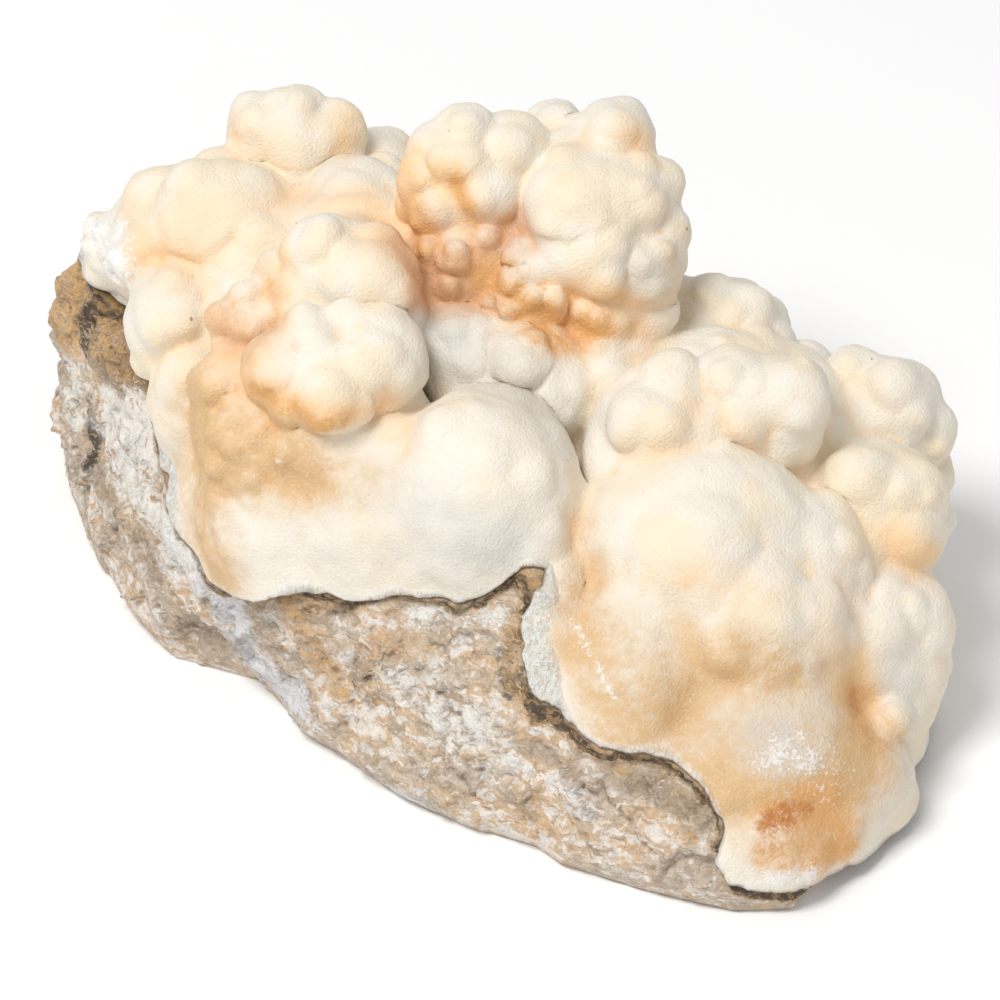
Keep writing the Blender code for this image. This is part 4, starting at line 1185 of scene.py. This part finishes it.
@dataclass(frozen=True)
class Rim:
    """The crust's lowest edge in plan, which the top of the stone follows.

    Attributes:
        tree: Finds the nearest of its points.
        outward: The way out of the crust at each of them.
        inset: How far inside the edge the stone's top lies.
        most: How far the stone's top is drawn in, and how far it is pushed out, at most.
        reach: How far below the bed that is felt.
    """

    tree: KDTree
    outward: np.ndarray
    inset: float = 0.15
    most: Pair = (5.0, 2.0)
    reach: float = 6.0

    @classmethod
    def around(cls, points: np.ndarray, outward: np.ndarray) -> "Rim":
        """Makes it from (x, y) points and the way out at each."""
        tree = KDTree(len(points))
        for index, (x, y) in enumerate(points):
            tree.insert((x, y, 0.0), index)
        tree.balance()
        return cls(tree, outward / np.linalg.norm(outward, axis=1, keepdims=True))

    def draw(self, places: np.ndarray, below: np.ndarray) -> np.ndarray:
        """How the stone's wall moves to meet the edge.

        Args:
            places: Rows of x, y and z on the wall.
            below: How far each lies below the bed.

        Returns:
            The move of each in x and y.
        """
        moves = np.zeros((len(places), 2))
        for index in np.flatnonzero(below < self.reach):
            x, y, _ = places[index]
            near, which, _ = self.tree.find((x, y, 0.0))
            out = self.outward[which]
            beyond = (x - near.x) * out[0] + (y - near.y) * out[1]
            move = max(-self.most[0], min(self.most[1], -self.inset - beyond))
            fade = np.clip(1.0 - below[index] / self.reach, 0, 1) ** 1.5
            far = np.clip((beyond - self.most[0]) / 3.0, 0, 1)
            moves[index] = out * move * min(1.0, fade * 1.2) * (1.0 - far)
        return moves


@dataclass
class Crust:
    """The lumpy crust, as lobes and knobs melted together and parted from the stone by the bed.

    Attributes:
        bed: The sheet that it is cut along.
        cell: The side of one cell of its mesh.
        threshold: The strength of influence at its surface.
        knob_firmness: How firmly a knob keeps its outline.
        hidden_knobs: How many knobs are spread round a whole lobe where it isn't seen.
        melting: How often the skin is smoothed, which melts its knobs together.
        steepness: The height for its radius of a broad dome, a small one and a bead.
        bubbles: The spacing and height of the bubbles where no dome is listed.
        swells: The length and height of its low swells.
        beads: The spacing and height of the small beads all over it.
        grapes: The spacing and height of the beads in the valleys.
        lip: How high above the stone its edge begins to flare, and how far it flares.
        finish: Its material.
        rim: Its lowest edge, once it is built.
    """

    BEAD: ClassVar[float] = 2.05

    bed: Bed
    cell: float = 0.63
    threshold: float = 0.05
    knob_firmness: float = 5.0
    hidden_knobs: int = 34
    melting: int = 5
    steepness: Triple = (0.25, 0.45, 0.56)
    bubbles: Pair = (5.4, 0.55)
    swells: tuple[Pair, ...] = ((9.0, 0.35), (4.0, 0.38))
    beads: Pair = (2.7, 0.15)
    grapes: Pair = (2.3, 0.55)
    lip: Pair = (3.2, 1.0)
    finish: CrustFinish = field(default_factory=CrustFinish)
    rim: "Rim | None" = None

    def _add_lump(
        self,
        balls: bpy.types.MetaBall,
        centre: Vector,
        reach: Sequence[float],
        firmness: float,
        turn: Quaternion,
    ) -> None:
        """Adds one ellipsoid with these half sizes along the axes that turn gives it."""
        longest = max(reach)
        lump = balls.elements.new(type="ELLIPSOID")
        lump.co = centre
        lump.rotation = turn
        lump.radius = longest / math.sqrt(1.0 - (self.threshold / firmness) ** (1.0 / 3.0))
        lump.size_x, lump.size_y, lump.size_z = (side / longest for side in reach)
        lump.stiffness = firmness

    @staticmethod
    def _sink(radius: float, rise: float) -> float:
        """How far a knob's centre lies under its lobe's surface."""
        return radius - min(rise, radius / 2)

    def _near_knobs(self, lobe: Lobe) -> Iterator[tuple[Vector, float]]:
        """Yields the centre and radius of each knob listed for the lobe."""
        _, rise = lobe.character.value
        for across, up, radius in lobe.knobs:
            u = (across - lobe.centre[0]) / lobe.reach[0]
            v = (up - lobe.centre[1]) / lobe.reach[1]
            depth = math.sqrt(max(0.0, 1.0 - u * u - v * v))
            toward = lobe.centre[2] + lobe.reach[2] * depth - self._sink(radius, rise)
            yield Vector((across, up, toward)), radius

    def _far_knobs(
        self, lobe: Lobe, shows: Callable[[Vector], bool], seed: int
    ) -> Iterator[tuple[Vector, float]]:
        """Spreads knobs evenly round a lobe.

        Args:
            lobe: The lobe.
            shows: Whether the knobs of a direction are listed one by one instead.
            seed: What the knobs' sizes and angles are drawn from.

        Yields:
            The centre and radius of each knob.
        """
        _, rise = lobe.character.value
        chance = random.Random(seed)
        golden = math.pi * (3.0 - math.sqrt(5.0))
        for index in range(self.hidden_knobs):
            height = 1.0 - 2.0 * (index + 0.5) / self.hidden_knobs
            angle = golden * index + chance.uniform(-0.4, 0.4)
            round_it = math.sqrt(1.0 - height * height)
            way = Vector((round_it * math.cos(angle), round_it * math.sin(angle), height))
            radius = min(lobe.reach) * chance.uniform(0.22, 0.52)
            if shows(way):
                continue
            out = Vector(side * part for side, part in zip(lobe.reach, way))
            yield Vector(lobe.centre) + out - out.normalized() * self._sink(radius, rise), radius

    def _lumps(self) -> bpy.types.Mesh:
        """All lobes and knobs melted together, in the model's frame."""
        balls = bpy.data.metaballs.new("crust_lumps")
        balls.resolution = balls.render_resolution = self.cell
        balls.threshold = self.threshold
        to_model = SEEN.matrix()
        turn = to_model.to_quaternion()
        for lobe in FILLERS:
            centre = to_model @ Vector(lobe.centre)
            self._add_lump(balls, centre, lobe.reach, lobe.character.value[0], turn)
        for seed, lobe in enumerate(SEEN_LOBES.values()):
            firmness, _ = lobe.character.value
            self._add_lump(balls, to_model @ Vector(lobe.centre), lobe.reach, firmness, turn)
            far = self._far_knobs(lobe, lambda way: way.z > -0.15, seed)
            for place, radius in [*self._near_knobs(lobe), *far]:
                self._add_lump(balls, to_model @ place, (radius,) * 3, self.knob_firmness, turn)
        upright = Matrix.Identity(4).to_quaternion()
        for seed, lobe in enumerate(HIDDEN_LOBES.values(), 100):
            firmness, _ = lobe.character.value
            self._add_lump(balls, Vector(lobe.centre), lobe.reach, firmness, upright)
            for place, radius in self._far_knobs(lobe, lambda way: way.y - way.z < -0.2, seed):
                self._add_lump(balls, place, (radius,) * 3, self.knob_firmness, upright)
        holder = bpy.data.objects.new("crust_lumps", balls)
        bpy.context.scene.collection.objects.link(holder)
        graph = bpy.context.evaluated_depsgraph_get()
        mesh = bpy.data.meshes.new_from_object(holder.evaluated_get(graph))
        bpy.data.objects.remove(holder)
        bpy.data.metaballs.remove(balls)
        return mesh

    def _roughen(self, mesh: bpy.types.Mesh) -> None:
        """Raises the swells and beads of the skin, and rounds its lip."""
        skin = Skin(mesh)
        where = np.clip(skin.strength(CRUST_PATCHES, Tint.GRAPES) * 1.4, 0, 1)
        melted = skin.spread(skin.places, self.melting)
        skin.places += (melted - skin.places) * (1 - 0.8 * where[:, None])
        skin.push(np.zeros(len(where)))
        broad, small, bead = self.steepness
        relief = skin.domes(BROAD_DOMES, lambda radius: broad * radius)
        listed = skin.domes(
            SMALL_DOMES, lambda radius: (bead if radius < self.BEAD else small) * radius
        )
        for length, rise in self.swells:
            relief += skin.each(lambda place: rise * noise.noise(place / length))
        jagged = skin.strength(CRUST_PATCHES, Tint.CHALK) * 0.35
        jagged += skin.strength(CRUST_PATCHES, Tint.SNOW)
        above = skin.places[:, 2] - self.bed.heights(skin.places[:, :2])
        selvage = skin.strength(CRUST_PATCHES, Tint.SELVAGE)
        jagged += 0.35 * np.clip(selvage + 0.5 - above, 0, 1)
        relief += jagged * skin.each(lambda place: Stone.facet(place, 2.4, 1.0, 0.6))
        relief *= 1.0 - 0.8 * np.clip(skin.hollows(4) / 0.25, 0, 1)
        plain = np.clip(listed / 0.3 + skin.strength(CRUST_PATCHES, Tint.PLAIN), 0, 1)
        bubbles = skin.each(lambda place: self._bead(place, self.bubbles[0])) * self.bubbles[1]
        relief += listed + bubbles * (1 - plain) * (1 - where)
        beads = skin.each(lambda place: self._bead(place, self.beads[0])) * self.beads[1]
        grapes = skin.each(lambda place: self._bead(place, self.grapes[0])) * self.grapes[1]
        relief += beads * (1 - where) + (grapes - 0.3 * self.grapes[1]) * where
        reach, flare = self.lip
        relief += flare * np.clip(1.0 - above / reach, 0, 1) ** 1.5
        relief -= 0.4 * np.clip(1.0 - above / 0.7, 0, 1) ** 2
        skin.push(skin.spread(relief, 1))

    @staticmethod
    def _bead(place: Vector, spacing: float) -> float:
        """The height, from 0 to 1, of round beads packed at this spacing."""
        nearest = noise.voronoi(place / spacing)[0][0]
        return max(0.0, 1.0 - (nearest / 0.75) ** 2)

    def build(self) -> bpy.types.Object:
        """Makes the crust.

        Returns:
            The object, in place.
        """
        lumps = self._lumps()
        keep_largest(lumps)
        self._roughen(lumps)
        mesh = carve("crust", lumps, self.bed.space_under(self.bed.gap), "DIFFERENCE")
        self.rim = self._find_rim(mesh)
        self._dress(mesh)
        mesh.shade_smooth()
        return link_object("crust", mesh)

    def _find_rim(self, mesh: bpy.types.Mesh) -> "Rim":
        """The edge where the skin meets the underside that the bed has cut."""
        skin = Skin(mesh)
        plan = skin.places[:, :2]
        bed = self.bed.heights(plan) + self.bed.ripples(plan) + self.bed.gap
        corners = np.zeros(3 * len(mesh.polygons), np.int32)
        mesh.polygons.foreach_get("vertices", corners)
        corners = corners.reshape(-1, 3)
        under = (np.abs(skin.places[:, 2] - bed) < 0.12)[corners].all(axis=1)
        edge = np.intersect1d(corners[under], corners[~under])
        return Rim.around(plan[edge], skin.normals[edge, :2])

    def _dress(self, mesh: bpy.types.Mesh) -> None:
        """Keeps what the finish reads: folds, creases and how far each point faces up, which carry
        painted shade, stains and the height above the bed.
        """
        skin = Skin(mesh)
        plan = skin.places[:, :2]
        bed = self.bed.heights(plan) + self.bed.ripples(plan) + self.bed.gap
        skin.keep("above_bed", skin.places[:, 2] - bed)
        fold = skin.hollows(6) / 0.30 + skin.hollows(40) / 1.0 + skin.hollows(160) / 3.2
        skin.keep("fold", np.clip(fold / 1.6, 0, 1))
        skin.keep("dome", skin.domes((*BROAD_DOMES, *SMALL_DOMES), lambda radius: 1.0))
        skin.keep("crease", np.clip(skin.hollows(3) / 0.16, 0, 1.5))
        skin.keep("upward", np.clip(skin.normals[:, 2], 0, 1))
        for tint in (*dict(self.finish.tints), Tint.CHALK):
            skin.keep(tint.value, skin.strength(CRUST_PATCHES, tint))
        skin.keep(Tint.SELVAGE.value, 0.45 + skin.strength(CRUST_PATCHES, Tint.SELVAGE))
        mesh.materials.clear()
        mesh.materials.append(self.finish.material())


@dataclass
class Stone:
    """The broken stone under the crust.

    Attributes:
        bed: The sheet that it is cut along.
        levels: The heights of its three outlines.
        outline: The (x, y) of each corner at those heights.
        step: The side of one square of its wall.
        top: The height that its wall is made up to, before the bed cuts it.
        foot_inset: How far its lowest edge is drawn in.
        swell: The length and height of its broad unevenness.
        breaks: The size, tilt and offset of its broken facets.
        finish: Its material.
    """

    bed: Bed
    levels: Triple = (3.0, 18.0, 32.0)
    outline: tuple[tuple[Pair, Pair, Pair], ...] = (
        ((-31.5, -7.0), (-35.8, -8.6), (-36.5, -4.0)),
        ((-28.5, -12.5), (-29.0, -11.5), (-28.0, -7.0)),
        ((-25.0, -18.0), (-22.5, -15.5), (-20.0, -11.0)),
        ((-12.5, -30.0), (-11.5, -22.5), (-10.0, -14.0)),
        ((-4.0, -35.6), (-4.0, -27.0), (-4.0, -15.5)),
        ((5.0, -39.2), (4.0, -33.0), (3.5, -21.5)),
        ((8.0, -42.4), (9.0, -36.0), (9.0, -27.0)),
        ((18.0, -46.8), (17.0, -39.2), (16.0, -29.0)),
        ((29.5, -50.6), (27.0, -43.0), (24.0, -32.0)),
        ((36.5, -50.0), (34.0, -42.5), (30.0, -32.0)),
        ((39.5, -43.0), (37.5, -37.0), (33.0, -28.0)),
        ((44.5, -31.0), (42.0, -26.0), (37.0, -20.0)),
        ((47.5, -14.0), (45.0, -12.0), (39.0, -10.0)),
        ((47.0, 4.0), (44.0, 3.0), (38.0, 2.0)),
        ((42.5, 18.0), (39.5, 16.0), (34.0, 14.0)),
        ((33.0, 31.0), (31.0, 29.0), (26.0, 25.0)),
        ((18.0, 41.0), (17.0, 39.0), (14.0, 34.0)),
        ((0.0, 45.0), (0.0, 43.0), (0.0, 38.0)),
        ((-18.0, 48.0), (-17.0, 46.0), (-16.0, 42.0)),
        ((-36.0, 48.5), (-35.0, 47.0), (-34.0, 44.0)),
        ((-51.0, 45.0), (-51.5, 44.5), (-51.5, 43.5)),
        ((-57.0, 38.5), (-57.5, 38.5), (-57.5, 38.5)),
        ((-56.5, 30.0), (-54.0, 31.0), (-51.0, 32.0)),
        ((-53.0, 18.0), (-48.5, 19.0), (-45.0, 20.0)),
        ((-48.0, 6.5), (-44.5, 8.5), (-42.5, 10.0)),
        ((-43.0, -2.2), (-41.0, -1.0), (-39.5, 1.0)),
        ((-37.0, -4.6), (-38.3, -5.6), (-38.3, -2.0)),
    )
    step: float = 0.55
    top: float = 37.0
    foot_inset: float = 2.0
    swell: Pair = (7.0, 1.1)
    breaks: tuple[Triple, ...] = ((5.5, 0.42, 0.62), (2.3, 0.36, 0.28), (1.1, 0.30, 0.11))
    finish: StoneFinish = field(default_factory=StoneFinish)

    def _ring(self, height: float) -> np.ndarray:
        """The outline's corners at this height."""
        outline = np.array(self.outline)
        upper = int(height > self.levels[1])
        share = (height - self.levels[upper]) / (self.levels[upper + 1] - self.levels[upper])
        share = max(0.0, share)
        ring = outline[:, upper] * (1 - share) + outline[:, upper + 1] * share
        if height < self.levels[0]:
            middle = ring.mean(axis=0)
            out = ring - middle
            inset = self.foot_inset * (1.0 - height / self.levels[0]) ** 2
            ring = middle + out * (1.0 - inset / np.linalg.norm(out, axis=1, keepdims=True))
        return ring

    def _wall(self) -> bpy.types.Mesh:
        """The wall up to above the bed, closed at its foot and top."""
        foot = np.array(self.outline)[:, 0]
        sides = np.linalg.norm(np.roll(foot, -1, axis=0) - foot, axis=1)
        counts = [max(1, round(side / self.step)) for side in sides]
        shape = bmesh.new()
        rings = []
        for height in np.arange(0.0, self.top, self.step):
            corners = self._ring(height)
            ring = []
            for start, end, count in zip(corners, np.roll(corners, -1, axis=0), counts):
                for index in range(count):
                    x, y = start + (end - start) * index / count
                    ring.append(shape.verts.new((x, y, height)))
            rings.append(ring)
        for below, above in zip(rings, rings[1:]):
            for index in range(len(below)):
                after = (index + 1) % len(below)
                shape.faces.new((below[index], below[after], above[after], above[index]))
        bmesh.ops.triangulate(shape, faces=shape.faces)
        shape.faces.new(rings[0][::-1])
        shape.faces.new(rings[-1])
        mesh = bpy.data.meshes.new("stone_wall")
        shape.to_mesh(mesh)
        shape.free()
        return mesh

    def _break_up(self, mesh: bpy.types.Mesh, rim: Rim) -> None:
        """Rounds the wall's corners, brings its top to the crust's rim and breaks it into facets."""
        skin = Skin(mesh)
        free = np.clip(skin.places[:, 2] / 1.5, 0, 1)
        soft = skin.spread(skin.places, 12)
        skin.places[:, :2] += (soft - skin.places)[:, :2] * free[:, None]
        below = self.bed.heights(skin.places[:, :2]) - skin.places[:, 2]
        moves = rim.draw(skin.places, below)
        skin.places[:, :2] += skin.spread(moves, 4)
        skin.push(np.zeros(len(free)))
        length, rise = self.swell
        relief = skin.each(lambda place: rise * noise.noise(place / length))
        for size, tilt, offset in self.breaks:
            relief += skin.each(lambda place: self.facet(place, size, tilt, offset))
        relief *= np.clip(0.25 + below / 4.0, 0.25, 1) * np.clip(skin.places[:, 2] / 6.0, 0.4, 1)
        skin.normals[:, 2] = 0.0
        skin.push(relief * free)

    @staticmethod
    def facet(place: Vector, size: float, tilt: float, offset: float) -> float:
        """How far a broken facet stands out at this place.

        Args:
            place: Where on the wall.
            size: The facets' breadth.
            tilt: How much a facet rises over a millimetre.
            offset: How far a whole facet may stand out.

        Returns:
            The rise in millimetres.
        """
        stretched = Vector((place.x, place.y, place.z * 1.5)) / size
        seed = noise.voronoi(stretched)[1][0]
        way = noise.noise_vector(seed * 5.3)
        return tilt * size * way.dot(stretched - seed) + offset * 2.0 * noise.noise(seed * 3.1)

    def build(self, rim: Rim) -> bpy.types.Object:
        """Makes the stone.

        Args:
            rim: The lowest edge of the crust on it.

        Returns:
            The object, in place.
        """
        wall = self._wall()
        self._break_up(wall, rim)
        mesh = carve("stone", wall, self.bed.space_under(0.0), "INTERSECT")
        self._dress(mesh)
        mesh.shade_smooth()
        return link_object("stone", mesh)

    def _dress(self, mesh: bpy.types.Mesh) -> None:
        """Keeps what the finish reads: the depth below the bed and the coloured places."""
        skin = Skin(mesh)
        plan = skin.places[:, :2]
        bed = self.bed.heights(plan) + self.bed.ripples(plan)
        skin.keep("below_bed", bed - skin.places[:, 2])
        skin.keep("top", np.clip(skin.normals[:, 2] * 2 - 0.8, 0, 1))
        for tint in (Tint.SEAM, Tint.GOLD, Tint.SOOT, Tint.BROWN, Tint.SNOW, Tint.HAZE):
            skin.keep(tint.value, skin.strength(STONE_PATCHES, tint))
        mesh.materials.clear()
        mesh.materials.append(self.finish.material())


@dataclass(frozen=True)
class Stage:
    """The plain pale floor.

    Attributes:
        half_side: Half the side of the floor, in metres.
        colour: Its colour.
    """

    half_side: float = 4.0
    colour: Triple = (0.96, 0.96, 0.96)

    def build(self) -> bpy.types.Object:
        """Makes the floor.

        Returns:
            The floor.
        """
        shape = bmesh.new()
        bmesh.ops.create_grid(shape, x_segments=1, y_segments=1, size=self.half_side)
        mesh = bpy.data.meshes.new("floor")
        shape.to_mesh(mesh)
        shape.free()
        graph = Graph("pale_floor")
        shade = graph.mix(graph.clouds(0.004), self.colour, [0.985 * part for part in self.colour])
        graph.set_shader({"Base Color": shade, "Roughness": 0.8, "Specular IOR Level": 0.2})
        mesh.materials.append(graph.material)
        floor = bpy.data.objects.new("floor", mesh)
        bpy.context.scene.collection.objects.link(floor)
        return floor


@dataclass(frozen=True)
class Softbox:
    """One square light that faces the specimen.

    Attributes:
        name: The light's name.
        place: Where it hangs, in metres.
        side: Its side, in metres.
        power: Its power, in watts.
        colour: Its colour.
    """

    name: str
    place: Triple
    side: float
    power: float
    colour: Triple = (1.0, 1.0, 1.0)

    def hang(self) -> None:
        """Makes the light."""
        light = bpy.data.lights.new(self.name, "AREA")
        light.size = self.side
        light.energy = self.power
        light.color = self.colour
        item = bpy.data.objects.new(self.name, light)
        item.location = self.place
        item.rotation_mode = "QUATERNION"
        aim = Vector((0.0, 0.0, 0.03)) - Vector(self.place)
        item.rotation_quaternion = aim.to_track_quat("-Z", "Y")
        bpy.context.scene.collection.objects.link(item)


@dataclass(frozen=True)
class Studio:
    """The soft white studio round the specimen.

    Attributes:
        softboxes: The lights.
        sky: The strength of the white surroundings.
    """

    softboxes: tuple[Softbox, ...] = (
        Softbox("key", (-0.30, -0.27, 0.83), 0.34, 5.4),
        Softbox("fill", (0.30, -0.90, 0.60), 0.80, 0.8),
    )
    sky: float = 0.54

    def build(self) -> None:
        """Hangs the lights and sets the surroundings."""
        for softbox in self.softboxes:
            softbox.hang()
        world = bpy.data.worlds.new("studio_white")
        world.use_nodes = True
        background = world.node_tree.nodes["Background"]
        background.inputs["Color"].default_value = (1.0, 1.0, 1.0, 1.0)
        background.inputs["Strength"].default_value = self.sky
        bpy.context.scene.world = world
        bpy.context.scene.view_settings.view_transform = "Standard"


@dataclass(frozen=True)
class Viewpoint:
    """The camera that looks down on the specimen.

    Attributes:
        seen_width: How much the picture spans across at the seen frame's origin, in millimetres.
        sensor: The width of the camera's sensor.
    """

    seen_width: float = 125.0
    sensor: float = 36.0

    def build(self) -> None:
        """Makes the camera and gives it to the scene."""
        lens = bpy.data.cameras.new("viewpoint")
        lens.sensor_width = self.sensor
        lens.lens = self.sensor * SEEN.distance / self.seen_width
        lens.clip_start = 0.01
        lens.clip_end = 20.0
        item = bpy.data.objects.new("viewpoint", lens)
        eye = SEEN.matrix() @ Vector((0.0, 0.0, SEEN.distance))
        turn = SEEN.matrix().to_3x3().to_4x4()
        item.matrix_world = Matrix.Translation(eye * MM) @ turn
        bpy.context.scene.collection.objects.link(item)
        bpy.context.scene.camera = item


def main() -> None:
    """Builds the specimen, its stage, its light and its camera, and notes its size."""
    logging.basicConfig(level=logging.INFO, format="%(name)s: %(message)s")
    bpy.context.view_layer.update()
    # Without a seed, the facets' tilts would come from the clock.
    noise.seed_set(NOISE_SEED)
    crust = Crust(Bed())
    crusty = crust.build()
    stony = Stone(crust.bed).build(crust.rim)
    for piece, node in ((crusty, "aragonite_crust"), (stony, "matrix_stone")):
        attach(piece, BODY)
        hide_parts(node)
        log.info("%s: %d faces", piece.name, len(piece.data.polygons))
    Stage().build()
    Studio().build()
    Viewpoint().build()


if __name__ == "__main__":
    main()
